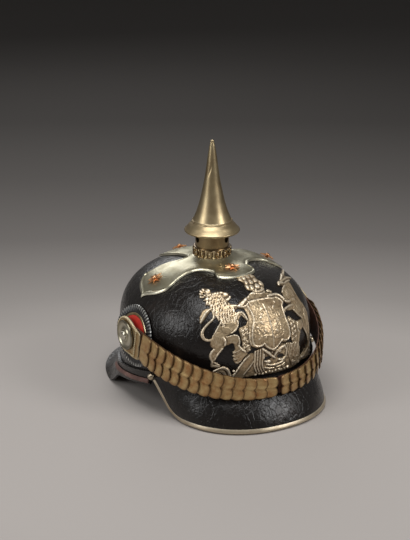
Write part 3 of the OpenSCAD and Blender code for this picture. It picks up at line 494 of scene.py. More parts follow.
# Metals: base colour, tarnish, the painted highlight on raised edges and the range of roughness, then what
# differs from the usual
METALS = {
    "trim_brass": ((0.44, 0.36, 0.24), (0.28, 0.2, 0.12), (0.68, 0.6, 0.46), (0.3, 0.5),
                   dict(patch=90, clean=0.8)),
    "base_metal": ((0.56, 0.53, 0.39), (0.42, 0.38, 0.25), (0.80, 0.77, 0.62), (0.26, 0.44), dict(patch=70)),
    "star_gold": ((0.40, 0.17, 0.075), (0.22, 0.08, 0.035), (0.66, 0.36, 0.18), (0.26, 0.44), {}),
    "spike_brass": ((0.52, 0.42, 0.25), (0.42, 0.31, 0.17), (0.70, 0.60, 0.42), (0.33, 0.46), {}),
    "pearl_brass": ((0.62, 0.46, 0.26), (0.25, 0.15, 0.07), (0.88, 0.72, 0.46), (0.2, 0.4), dict(shade_and_grime=0.7)),
    "fittings_brass": ((0.55, 0.45, 0.26), (0.3, 0.22, 0.12), (0.75, 0.65, 0.42), (0.28, 0.5), {}),
    "cockade_gold": ((0.60, 0.47, 0.27), (0.36, 0.26, 0.13), (0.82, 0.7, 0.45), (0.26, 0.46), {}),
    "rosette_silver": ((0.52, 0.49, 0.38), (0.32, 0.28, 0.19), (0.82, 0.78, 0.66), (0.22, 0.4),
                       dict(shade_and_grime=0.7)),
    "strap_end_metal": ((0.48, 0.36, 0.18), (0.34, 0.19, 0.08), (0.62, 0.52, 0.33), (0.36, 0.54),
                        dict(patch=110, clean=0.6, chased=0.3)),
    "scale_brass": ((0.54, 0.38, 0.17), (0.36, 0.17, 0.06), (0.74, 0.61, 0.36), (0.32, 0.52),
                    dict(patch=110, shade_and_grime=0.9, clean=0.6, chased=0.3)),
}
# The small turned fittings keep the frame's own meshes, and have no painted highlight or painted shade on
# their edges
TURNED = {
    # The neck's brass is a darker copy of the spike's brass: painted shade under the spike's brim
    "spike_brass": ("neck_brass", (0.40, 0.30, 0.16), (0.26, 0.18, 0.09), (0.26, 0.42)),
    "trim_brass": ("ball_brass", (0.56, 0.49, 0.37), (0.38, 0.3, 0.2), (0.24, 0.4)),
    "fittings_brass": ("nut_brass", (0.5, 0.4, 0.23), (0.28, 0.2, 0.11), (0.3, 0.5)),
}

M = {"black_leather": black_leather(), "plate_metal": chased_metal(), "cockade_black": milled_black(),
     "cockade_red": red_paint()}
M.update({name: worn_leather(name, *tones) for name, tones in LEATHERS.items()})
M.update({name: metal(name, *looks, **more) for name, (*looks, more) in METALS.items()})


def dress_frame():
    """Give every node that came with the frame its material."""
    turned = {slot: metal(name, base, tarnish, base, rough, highlight_and_wear=0, shade_and_grime=0)
              for slot, (name, base, tarnish, rough) in TURNED.items()}
    for entry in frame["record"]["subparts"]:
        node = NODES[entry["node"]]
        mat = turned.get(entry["material_slot"], M[entry["material_slot"]])
        if not node.material_slots:
            node.data.materials.append(mat)
        for slot in node.material_slots:
            slot.material = mat


dress_frame()


# Skull
CROWN_HOLE = 12.0


def make_skull():
    az = np.linspace(0, 360, 216, endpoint=False)
    low = rim_z(wall_pt(az, 0)[:, 1])
    crown = math.degrees(math.acos((CROWN_HOLE / HALF_W) ** (PLAN_POW / 2)))

    def rows(d):
        wall = [wall_pt(az, mix(low, BASE_Z, t), d) for t in np.linspace(0, 1, 7)[:-1]]
        dome = [dome_pt(az, crown * t ** 1.25, d) for t in np.linspace(0, 1, 44)]
        return wall + dome
    lip = [wall_pt(az, low, -WALL * t) for t in (0.15, 0.85)]
    loops = [lip[0]] + rows(0.0) + rows(-WALL)[::-1] + [lip[1]]
    piece("skull_shell", *tube_skin(loops), M["black_leather"], replaces=["skull"])


make_skull()


# Front visor and its trim. Stations t run round it: from -1 to 1 along the curved edge, and on to -2 and 2
# where its straight ends meet the skull. Each station has a fold at the skull's rim and an edge.
CORNER_FROM, CORNER_TO = 0.88, 1.3
STATIONS = np.concatenate([np.linspace(-2, -1, 17)[:-1], np.linspace(-1, 1, 129), np.linspace(1, 2, 17)[1:]])
VISOR_FLANGE, KNEE, VISOR_BULGE = 6.0, 0.14, 2.2
TRIM_END, TRIM_T, TRIM_DEPTH = 1.96, 0.8, 3.0


def station_az(t):
    a = abs(t)
    swing = CORNER_ANGLE * a if a <= 1 else mix(CORNER_ANGLE, MEET_ANGLE - 0.3, a - 1)
    return -90 + math.copysign(1, t) * swing


def visor_edge(t):
    a = math.radians(90 * (1 - abs(t)))
    reach = HALF_L + LEAD + VISOR_REACH - VISOR_Y
    return np.array([math.copysign(1, t) * VISOR_W * max(math.cos(a), 0) ** (2 / VISOR_POW),
                     -VISOR_Y - reach * max(math.sin(a), 0) ** (2 / VISOR_POW), VISOR_EDGE_Z])


def sharp_edge(t):
    if abs(t) <= 1:
        return visor_edge(t)
    s = math.copysign(1, t)
    return mix(visor_edge(s), wall_pt(station_az(2 * s), RIM_Z - 2, SKIN_GAP + LEATHER_T), abs(t) - 1)


def station_edge(t):
    """The visor's edge, with its corner rounded off."""
    s = math.copysign(1, t)
    if not CORNER_FROM < abs(t) < CORNER_TO:
        return sharp_edge(t)
    u = (abs(t) - CORNER_FROM) / (CORNER_TO - CORNER_FROM)
    return bezier(sharp_edge(CORNER_FROM * s), sharp_edge(s), sharp_edge(CORNER_TO * s), u)


def station_fold(t, d):
    return wall_pt(station_az(t), RIM_Z, SKIN_GAP + d)


def station_out(t):
    s = station_edge(t) - station_fold(t, LEATHER_T)
    o = wall_out(station_az(t))
    run = max(float(s @ o), 0)
    return unit(o * max(-s[2], 0.1) + np.array([0, 0, run]))


def visor_line(t, d):
    """A line of the visor from its flange on the skull over the fold to the edge."""
    top = wall_pt(station_az(t), RIM_Z + VISOR_FLANGE, SKIN_GAP + d)
    fold = station_fold(t, d)
    out = station_out(t)
    edge = station_edge(t) - out * (LEATHER_T - d)
    pts = [top, mix(top, fold, 0.45)]
    pts += [bezier(mix(top, fold, 0.6), fold, mix(fold, edge, KNEE), u) for u in np.linspace(0, 1, 6)]
    high = min(VISOR_BULGE, np.linalg.norm(edge - fold) * 0.05)
    for u in np.linspace(KNEE, 1, 12)[1:]:
        bulge = high * math.sin(math.pi * ((u - KNEE) / (1 - KNEE)) ** 1.3)
        pts.append(mix(fold, edge, u) + out * bulge)
    return np.array(pts)


def make_visor():
    outer = [visor_line(t, LEATHER_T) for t in STATIONS]
    inner = [visor_line(t, 0.0) for t in STATIONS]
    piece("visor_leather", *thick(outer, inner), M["black_leather"], replaces=["front_visor"])


def trim_frame(t):
    """Middle of the leather's edge, with the directions outward along the visor and across its thickness."""
    n = station_out(t)
    e = station_edge(t) - n * LEATHER_T / 2
    along = unit(station_edge(min(t + 0.02, 2)) - station_edge(max(t - 0.02, -2)))
    return e, unit(np.cross(along, n)), n


def make_trim():
    """A metal channel over the visor's edge, with a round nose and rolled lips."""
    inner = LEATHER_T / 2 + SKIN_GAP
    outer = inner + TRIM_T
    arc = np.radians(np.linspace(90, -90, 9))

    def channel(half, nose, depths, heights):
        upper = list(zip(depths, heights))
        bow = [(-0.2 + nose * math.cos(a), half * math.sin(a)) for a in arc]
        return upper + bow + [(x, -y) for x, y in upper[::-1]]
    out_line = channel(outer, 1.3, (-TRIM_DEPTH, -TRIM_DEPTH, -2.75, -1.2),
                       (inner + 0.1, outer - 0.25, outer, outer))
    in_line = channel(inner, 0.4, (-2.9, -2.9, -2.6, -1.2), (inner,) * 4)
    rows = []
    for line in (out_line, in_line):
        frames = [trim_frame(t) for t in STATIONS if abs(t) <= TRIM_END]
        rows.append([[e + x * a + n * b for a, b in line] for e, x, n in frames])
    verts, faces = thick(*rows)
    verts[:, 2] = np.maximum(verts[:, 2], 0)
    piece("visor_trim_metal", verts, faces, M["trim_brass"], replaces=["visor_trim"])


make_visor()
make_trim()


# Neck guard, edge strips and rear spine. Here a is the angle from the middle of the back.
STRIP_START, STRIP_W, STRIP_T, STRIP_SEAT = 62.0, 4.4, 1.4, 0.2
SPINE_TOP, SPINE_HALF_TOP, SPINE_HALF_LOW = 34.5, 4.5, 3.5
SPINE_SHAPE = [(-1, 0.55), (-0.85, 0.95), (-0.5, 0.8), (0, 1.1), (0.5, 0.8), (0.85, 0.95), (1, 0.55)]


def guard_flare(a):
    """How far the guard's lip stands out from the skull."""
    share = math.radians(90 * max(1 - abs(a) / GUARD_FLARE, 0))
    return 1.2 + (GUARD_REACH - 1) * max(math.sin(share), 0) ** 1.5


def guard_rim(a):
    return float(rim_z(wall_pt(90 + a, 0)[1]))


def guard_lip_z(a):
    band, f = guard_rim(a) - SIDE_BAND, guard_flare(a)
    floor_z = LEATHER_T * f / math.hypot(f, guard_rim(a)) - 0.3
    return mix(band, floor_z, float(smooth((LIP_DROP - abs(a)) / (LIP_DROP - LIP_FLAT))))


def guard_fold(a, d):
    return wall_pt(90 + a, guard_rim(a) + 1, SKIN_GAP + d)


def guard_lip(a):
    return wall_pt(90 + a, guard_lip_z(a), SKIN_GAP + LEATHER_T) + wall_out(90 + a) * guard_flare(a)


def guard_out(a):
    drop = guard_fold(a, LEATHER_T)[2] - guard_lip_z(a)
    return unit(wall_out(90 + a) * max(drop, 0.1) + np.array([0, 0, guard_flare(a)]))


def guard_slope(a, d, t):
    fold = guard_fold(a, d)
    lip = guard_lip(a) - guard_out(a) * (LEATHER_T - d)
    return mix(fold, lip, t) - guard_out(a) * 0.16 * guard_flare(a) * math.sin(math.pi * t)


def guard_flange(a):
    return mix(4.0, 9.0, float(smooth((LIP_DROP - abs(a)) / 20)))


def make_guard():
    angles = np.linspace(-GUARD_ANGLE, GUARD_ANGLE, 193)

    def line(a, d):
        top = wall_pt(90 + a, guard_rim(a) + guard_flange(a), SKIN_GAP + d)
        fold = guard_fold(a, d)
        pts = [top, mix(top, fold, 0.4)]
        pts += [bezier(mix(top, fold, 0.6), fold, guard_slope(a, d, 0.12), u) for u in np.linspace(0, 1, 5)]
        return pts + [guard_slope(a, d, t) for t in np.linspace(0.12, 1, 12)[1:]]
    verts, faces = thick([line(a, LEATHER_T) for a in angles], [line(a, 0.0) for a in angles])
    verts[:, 2] = np.maximum(verts[:, 2], 0)
    piece("neck_guard_leather", verts, faces, M["black_leather"], replaces=["neck_guard"])


def make_edge_strips():
    outer, inner = [], []
    steps = 40
    swell = [math.sin(math.pi * u) ** 0.35 for u in np.linspace(0.03, 0.97, 9)]
    for i in range(steps + 1):
        a = mix(STRIP_START, GUARD_ANGLE - 0.6, i / steps)
        o, top, lip = guard_out(a), guard_fold(a, LEATHER_T), guard_lip(a)
        seat = SKIN_GAP + STRIP_SEAT
        start = mix(0.8, STRIP_W, i / steps)
        shares = np.linspace(start, start + STRIP_W, 9) / float(np.linalg.norm(lip - top))
        line = [mix(top, lip, u) for u in shares]
        outer.append([p + o * (seat + STRIP_T * h) for p, h in zip(line, swell)])
        inner.append([p + o * seat for p in line])
    part = thick(outer, inner)
    piece("edge_strip_leather", *joined([part, mirrored(part)]), M["strip_leather"], replaces=["edge_strips"])


def make_spine():
    gap, rim = SKIN_GAP, guard_rim(0)
    pts = [dome_pt(90, SPINE_TOP * (1 - i / 24), gap) for i in range(25)]
    pts += [wall_pt(90, z, gap) for z in np.linspace(60, rim + 14, 10)]
    pts += [wall_pt(90, rim + z, 2 * gap + LEATHER_T) for z in (9.3, 6.5, 4)]
    pts += [guard_slope(0, LEATHER_T, t) + guard_out(0) * gap for t in np.linspace(0.12, 1, 14)]
    outer, inner = [], []
    for i, p in enumerate(pts):
        along = unit(pts[min(i + 1, len(pts) - 1)] - pts[max(i - 1, 0)])
        out = np.cross(along, [-1, 0, 0])
        half = mix(SPINE_HALF_TOP, SPINE_HALF_LOW, i / len(pts))
        inner.append([p + np.array([half * x, 0, 0]) for x, h in SPINE_SHAPE])
        outer.append([q + out * h for q, (x, h) in zip(inner[-1], SPINE_SHAPE)])
    verts, faces = thick(outer, inner)
    verts[:, 2] = np.maximum(verts[:, 2], 0)
    piece("rear_spine_metal", verts, faces, M["trim_brass"], replaces=["rear_spine"])


make_guard()
make_edge_strips()
make_spine()


# Spike base
FOOT_R, FOOT_Z, FOOT_RISE, FOOT_HOLE = 18.5, 132.1, 2.4, 13.0
BASE_T, ARM_LIFT, FLARE = 1.2, 1.5, 5.5

# Half outlines of the arms, from the tip to the corner: a place along the arm and one across it
ARM_TIP = [(79, 0), (77, 3.3), (72, 15.5), (66.5, 21.8), (61.5, 23.6)]
SIDE_FRONT = ARM_TIP + [(54, 22.4), (46, 20.6), (39, 20.8), (32, 22.2)]
SIDE_REAR = ARM_TIP + [(54.5, 18.6), (46, 13.2), (37, 10.6), (29, 9.6)]
BACK_HALF = ARM_TIP + [(54, 24.6), (45, 24.4), (36, 22.6), (28, 20.6)]
FRONT_HALF = [(53, 0), (52.7, 7), (51.2, 13), (48.2, 18.4), (44, 20.8), (39.5, 20.2), (35, 19.4)]
ARMS = [(FRONT_HALF, FRONT_HALF), (SIDE_FRONT, SIDE_REAR), (BACK_HALF, BACK_HALF), (SIDE_REAR, SIDE_FRONT)]
# The corner that follows each arm: its distance from the axis and its turn from the arm
CORNERS = [(36.5, 45), (25.0, 30), (25.0, 60), (36.5, 45)]


def base_outline(steps):
    """The outline of the four arms, which start at the front and go round by the left."""
    knots = []
    for k, (before, after) in enumerate(ARMS):
        r, turn = CORNERS[k]
        whole = [(x, -y) for x, y in before[:0:-1]] + list(after) + [(r * cosd(turn), r * sind(turn))]
        c, s = cosd(90 * k - 90), sind(90 * k - 90)
        knots += [(x * c - y * s, x * s + y * c) for x, y in whole]
    return curve_through(knots, steps, True)


def make_base():
    """The base as loops from its outline in to the foot, at shares of the way out.

    A share of less than 0 lies inside the foot.
    """
    q = base_outline(5)
    seat = unit(q) * (FOOT_R + 0.4)
    shares = np.concatenate([[-1, -0.9], np.linspace(0, 0.2, 8)[:-1], np.linspace(0.2, 0.86, 14),
                             [0.9, 0.925, 0.945, 0.962, 0.978, 0.99, 1.0]])

    def loop(s, upper):
        if s < 0:
            p = unit(q) * (FOOT_HOLE if s == -1 else FOOT_R + 0.12)
        else:
            p = mix(seat, q, s)
        r = np.hypot(p[:, 0], p[:, 1])
        inward = np.linalg.norm(q - p, axis=1)
        lift = ARM_LIFT * (1 - max(s, 0.0) ** 4) * smooth((r - 22) / 26)
        arm = dome_z(p[:, 0], p[:, 1], SKIN_GAP + BASE_T) + lift
        bead = 0.75 * np.exp(-((inward - 1.1) / 0.75) ** 2) - 0.3 * np.exp(-((inward - 3.0) / 0.8) ** 2)
        foot = (FOOT_RISE if upper and s > -0.95 else 0) + FOOT_Z - 0.1
        z = mix(arm, foot, np.exp(-np.maximum(r - FOOT_R - 0.4, 0) / FLARE)) + bead * upper
        return vec(p[:, 0], p[:, 1], z if upper else z - BASE_T)
    loops = [loop(s, True) for s in shares[::-1]] + [loop(s, False) for s in shares]
    piece("spike_base_metal", *tube_skin(loops), M["base_metal"], replaces=["spike_base"])


make_base()


# Star studs
FRONT_STUD_R, STUD_R = 37.0, 62.0
STAR_POINTS, STAR_LONG, STAR_SHORT, STAR_NOTCH = 8, 8.4, 7.3, 3.5


def stud_frames():
    """Each stud's place on the skull, with its axes out along the arm, across it and up from the skull."""
    for a in (-90, 0, 90, 180):
        r = FRONT_STUD_R if a == -90 else STUD_R
        x, y = r * cosd(a), r * sind(a)
        p = np.array([x, y, float(dome_z(x, y))])
        n = dome_out(p)
        side = unit(np.cross(n, [cosd(a), sind(a), 0]))
        yield p, np.cross(side, n), side, n


def star_part():
    """A star with long and short points, whose ribs rise to a flat middle."""
    k = 2 * STAR_POINTS
    radii = [STAR_NOTCH if i % 2 else STAR_LONG if i % 4 == 0 else STAR_SHORT for i in range(k)]
    low = np.array([(r * cosd(360 * i / k), r * sind(360 * i / k), 0.0) for i, r in enumerate(radii)])
    edge, ribs = low.copy(), low * 0.42
    edge[:, 2] = [0.5 if i % 2 else 0.75 for i in range(k)]
    ribs[:, 2] = [1.2 if i % 2 else 2.2 for i in range(k)]
    verts = np.concatenate([low, edge, ribs, [[0, 0, 2.2]], [[0, 0, 0]]])
    faces = []
    for i in range(k):
        j = (i + 1) % k
        faces += [(i, j, k + j, k + i), (k + i, k + j, 2 * k + j, 2 * k + i), (2 * k + i, 2 * k + j, 3 * k),
                  (j, i, 3 * k + 1)]
    return verts, faces


def make_stars():
    seat = SKIN_GAP + BASE_T + ARM_LIFT * 0.85 + 0.35
    end = -WALL - 4 - seat
    stem = lathe([(0.01, end), (1.5, end), (1.5, 0.1), (0.01, 0.1)], 20)
    button = ball((0, 0, 2.0), 2.3, 8, 16, (1, 1, 0.75))
    parts = [placed(part, p + n * seat, x, y, n) for p, x, y, n in stud_frames()
             for part in (star_part(), button, stem)]
    piece("star_stud_heads", *joined(parts), M["star_gold"], replaces=["star_studs"], sharp=22)


make_stars()


# Pearl ring and spike
PEARLS, PEARL_Z, PEARL_R, OVAL_W, OVAL_H = 14, 138.0, 17.9, 2.45, 3.75
RING = [
    (16.6, 131.9), (18.2, 131.9), (18.4, 132.3), (18.0, 132.7), (17.4, 132.9), (17.4, 141.7), (18.0, 141.9),
    (18.2, 142.4), (17.9, 142.9), (16.6, 143.1)]


def oval_part():
    """A rounded wire bent to an oval, standing up."""
    rows = []
    for u in np.linspace(0, 360, 25)[:-1]:
        centre = np.array([OVAL_W * cosd(u), OVAL_H * sind(u), 0])
        radial = unit(np.array([OVAL_H * cosd(u), OVAL_W * sind(u), 0]))
        rows.append([centre + radial * 0.85 * cosd(v) + np.array([0, 0, 0.95 * sind(v)])
                     for v in np.linspace(0, 360, 11)[:-1]])
    return tube_skin(rows)


def make_pearls():
    parts = [lathe(RING, 112)]
    oval, pearl = oval_part(), ball((0, 0, 0), 1.15, 6, 10, (1, 1.7, 0.9))
    for i in range(PEARLS):
        a, b = 360 * i / PEARLS, 360 * (i + 0.5) / PEARLS
        out, side, between = vec(cosd(a), sind(a), 0), vec(-sind(a), cosd(a), 0), vec(cosd(b), sind(b), 0)
        parts.append(placed(oval, out * PEARL_R + UP * PEARL_Z, side, UP, out))
        parts.append(placed(pearl, out * (PEARL_R - 0.3) + UP * PEARL_Z, side, UP, out))
        parts += [ball(between * (PEARL_R - 0.2) + UP * (PEARL_Z + z), 0.95, 6, 10) for z in (-3.1, 3.1)]
    piece("pearl_ring_ovals", *joined(parts), M["pearl_brass"], replaces=["pearl_ring"], sharp=50)


SPIKE_Z, SPIKE_H, BRIM, SHEET = 157.2, 90.5, 26.9, 1.0
# Shares of the brim's radius and of the spike's height
SPIKE_SHAPE = [
    (0.955, 0), (0.985, 0.004), (1, 0.012), (0.995, 0.022), (0.955, 0.034), (0.89, 0.056), (0.83, 0.078),
    (0.755, 0.099), (0.738, 0.104), (0.728, 0.109), (0.738, 0.1145), (0.722, 0.119), (0.715, 0.1205),
    (0.722, 0.125), (0.706, 0.129), (0.69, 0.133), (0.585, 0.206), (0.512, 0.27), (0.452, 0.332),
    (0.403, 0.395), (0.36, 0.457), (0.316, 0.52), (0.275, 0.584), (0.242, 0.646), (0.212, 0.71),
    (0.184, 0.774), (0.156, 0.836), (0.108, 0.925), (0.086, 0.955), (0.076, 0.968), (0.05, 0.9715),
    (0.064, 0.9755), (0.069, 0.984), (0.056, 0.994), (0.025, 0.9995), (0.0004, 1.0)]
# Dents: azimuth, height, half width in degrees, half height, depth and slope
DENTS = [(-141, 219, 8, 4.5, 0.45, 2.5), (-70, 205, 50, 7, 0.18, 0), (-150, 196, 45, 8, 0.15, 0)]


def dented(rows):
    az = np.degrees(np.arctan2(rows[..., 1], rows[..., 0]))
    r = np.hypot(rows[..., 0], rows[..., 1])
    for az0, z0, wide, high, deep, slope in DENTS:
        off = rows[..., 2] - z0
        turn = (az - az0 - slope * off + 180) % 360 - 180
        push = deep * np.exp(-(turn / wide) ** 2 - (off / high) ** 2)
        rows[..., :2] *= (np.maximum(r - push, 0.005) / np.maximum(r, 1e-6))[..., None]
    return rows


def make_spike():
    outer = curve_through([(r * BRIM, SPIKE_Z + h * SPIKE_H) for r, h in SPIKE_SHAPE], 4)
    outer[:, 0] = np.maximum(outer[:, 0], 0.01)
    outer[:, 1] = np.clip(outer[:, 1], SPIKE_Z, SPIKE_Z + SPIKE_H)
    inner = np.array([(max(r - SHEET, 0.01), z) for r, z in outer if r > 2.4 and z > SPIKE_Z + SHEET])
    floor = [(3.15, SPIKE_Z + SHEET), (3.15, SPIKE_Z)]
    profile = np.concatenate([outer, [(0.01, inner[-1][1] + 0.5)], inner[::-1], floor])
    piece("spike_shell", *lathe(profile, 128, dented), M["spike_brass"], body="spike",
          replaces=["spike"], sharp=60)


make_pearls()
make_spike()


# Front plate. Its figures are drawn from the front and a little above, x to the wearer's left and v up,
# then laid on the skull.
RELIEF_STEP = 0.4
RELIEF_LOW, RELIEF_HIGH = (-63.0, 5.0), (62.5, 103.0)
PLATE_SEED, RIM_HIGH = 11, 0.45


class Relief:
    """A height field over the plate's outline, built from areas, strokes, bumps, cuts and grooves.

    The field `inside` is the distance in from the outline, less than nothing outside it.
    """

    def __init__(self):
        x, v = [np.arange(lo, hi, RELIEF_STEP) for lo, hi in zip(RELIEF_LOW, RELIEF_HIGH)]
        self.x, self.v = np.meshgrid(x, v, indexing="ij")
        self.high = np.zeros(self.x.shape)
        self.inside = np.full(self.x.shape, -9.0)
        self.rng = np.random.default_rng(PLATE_SEED)

    def window(self, pts, pad):
        """The part of the grid round some points."""
        lo, hi = np.min(pts, axis=0) - pad, np.max(pts, axis=0) + pad
        return tuple(slice(max(int((a - start) / RELIEF_STEP), 0), int((b - start) / RELIEF_STEP) + 2)
                     for a, b, start in zip(lo, hi, RELIEF_LOW))

    def along(self, a, b, w):
        """The share of the way from a to b that is nearest to each grid point, and its distance."""
        x, v = self.x[w] - a[0], self.v[w] - a[1]
        dx, dv = b[0] - a[0], b[1] - a[1]
        t = np.clip((x * dx + v * dv) / max(dx ** 2 + dv ** 2, 1e-9), 0, 1)
        return t, np.hypot(x - t * dx, v - t * dv)

    def edge_distance(self, pts, w):
        """Distance of the grid points inside an outline from its edge, less than nothing outside it."""
        x, v = self.x[w], self.v[w]
        best, odd = np.full(x.shape, 1e9), np.zeros(x.shape, bool)
        for a, b in zip(pts, np.roll(pts, -1, axis=0)):
            best = np.minimum(best, self.along(a, b, w)[1])
            if a[1] != b[1]:
                crossing = (b[0] - a[0]) * (v - a[1]) / (b[1] - a[1]) + a[0]
                odd ^= ((a[1] > v) != (b[1] > v)) & (x < crossing)
        return np.where(odd, best, -best)

    def line_distance(self, pts, widths, w):
        """Distance from a line as a share of its width, and the room left within the width."""
        radii = np.interp(np.linspace(0, 1, len(pts)), np.linspace(0, 1, len(widths)), widths)
        share, room = np.full(self.x[w].shape, 9.0), np.full(self.x[w].shape, -9.0)
        for a, b, ra, rb in zip(pts[:-1], pts[1:], radii[:-1], radii[1:]):
            t, d = self.along(a, b, w)
            radius = mix(ra, rb, t)
            share, room = np.minimum(share, d / radius), np.maximum(room, radius - d)
        return share, room

    def raise_to(self, w, high, room):
        """Raise the field to a height where it is lower, and widen the outline to the room given."""
        self.high[w] = np.maximum(self.high[w], high)
        self.inside[w] = np.maximum(self.inside[w], room)

    def area(self, pts, high, bevel=0.9, steps=3):
        pts = curve_through(pts, steps, True)
        w = self.window(pts, 2)
        d = self.edge_distance(pts, w)
        self.raise_to(w, np.where(d > 0, high * (0.5 + 0.5 * smooth(d / bevel)), 0), d)

    def cut(self, pts):
        pts = curve_through(pts, 3, True)
        w = self.window(pts, 3)
        self.inside[w] = np.minimum(self.inside[w], -self.edge_distance(pts, w))

    def stroke(self, pts, widths, high, lift=0.0, steps=4):
        """A rounded ridge along a line. With a lift it rises from what lies there, else from the skull."""
        pts = curve_through(pts, steps)
        w = self.window(pts, max(widths) + 1)
        share, room = self.line_distance(pts, widths, w)
        bulge = np.sqrt(np.maximum(1 - share ** 2, 0))
        if lift:
            self.high[w] += lift * bulge
        else:
            self.raise_to(w, np.where(share < 1, high * (0.45 + 0.55 * bulge), 0), room)

    def groove(self, pts, width, deep):
        pts = curve_through(pts, 4)
        w = self.window(pts, 3 * width)
        share, room = self.line_distance(pts, (width, width), w)
        self.high[w] -= deep * np.exp(-share ** 2) * (self.high[w] > 0)

    def bump(self, x, v, rx, rv, high, lift=0.0, turn=0.0):
        """A rounded lump, an ellipse turned by an angle. A lift works as for a stroke."""
        w = self.window(np.array([[x, v]]), max(rx, rv) + 1)
        dx, dv = self.x[w] - x, self.v[w] - v
        a, b = dx * cosd(turn) + dv * sind(turn), dv * cosd(turn) - dx * sind(turn)
        share = np.hypot(a / rx, b / rv)
        bulge = np.sqrt(np.maximum(1 - share ** 2, 0))
        if lift:
            self.high[w] += lift * bulge
        else:
            self.raise_to(w, np.where(share < 1, high * (0.4 + 0.6 * bulge), 0), (1 - share) * min(rx, rv))

    def bumps(self, rows):
        for row in rows:
            self.bump(*row)

    def strokes(self, rows):
        for row in rows:
            self.stroke(*row)


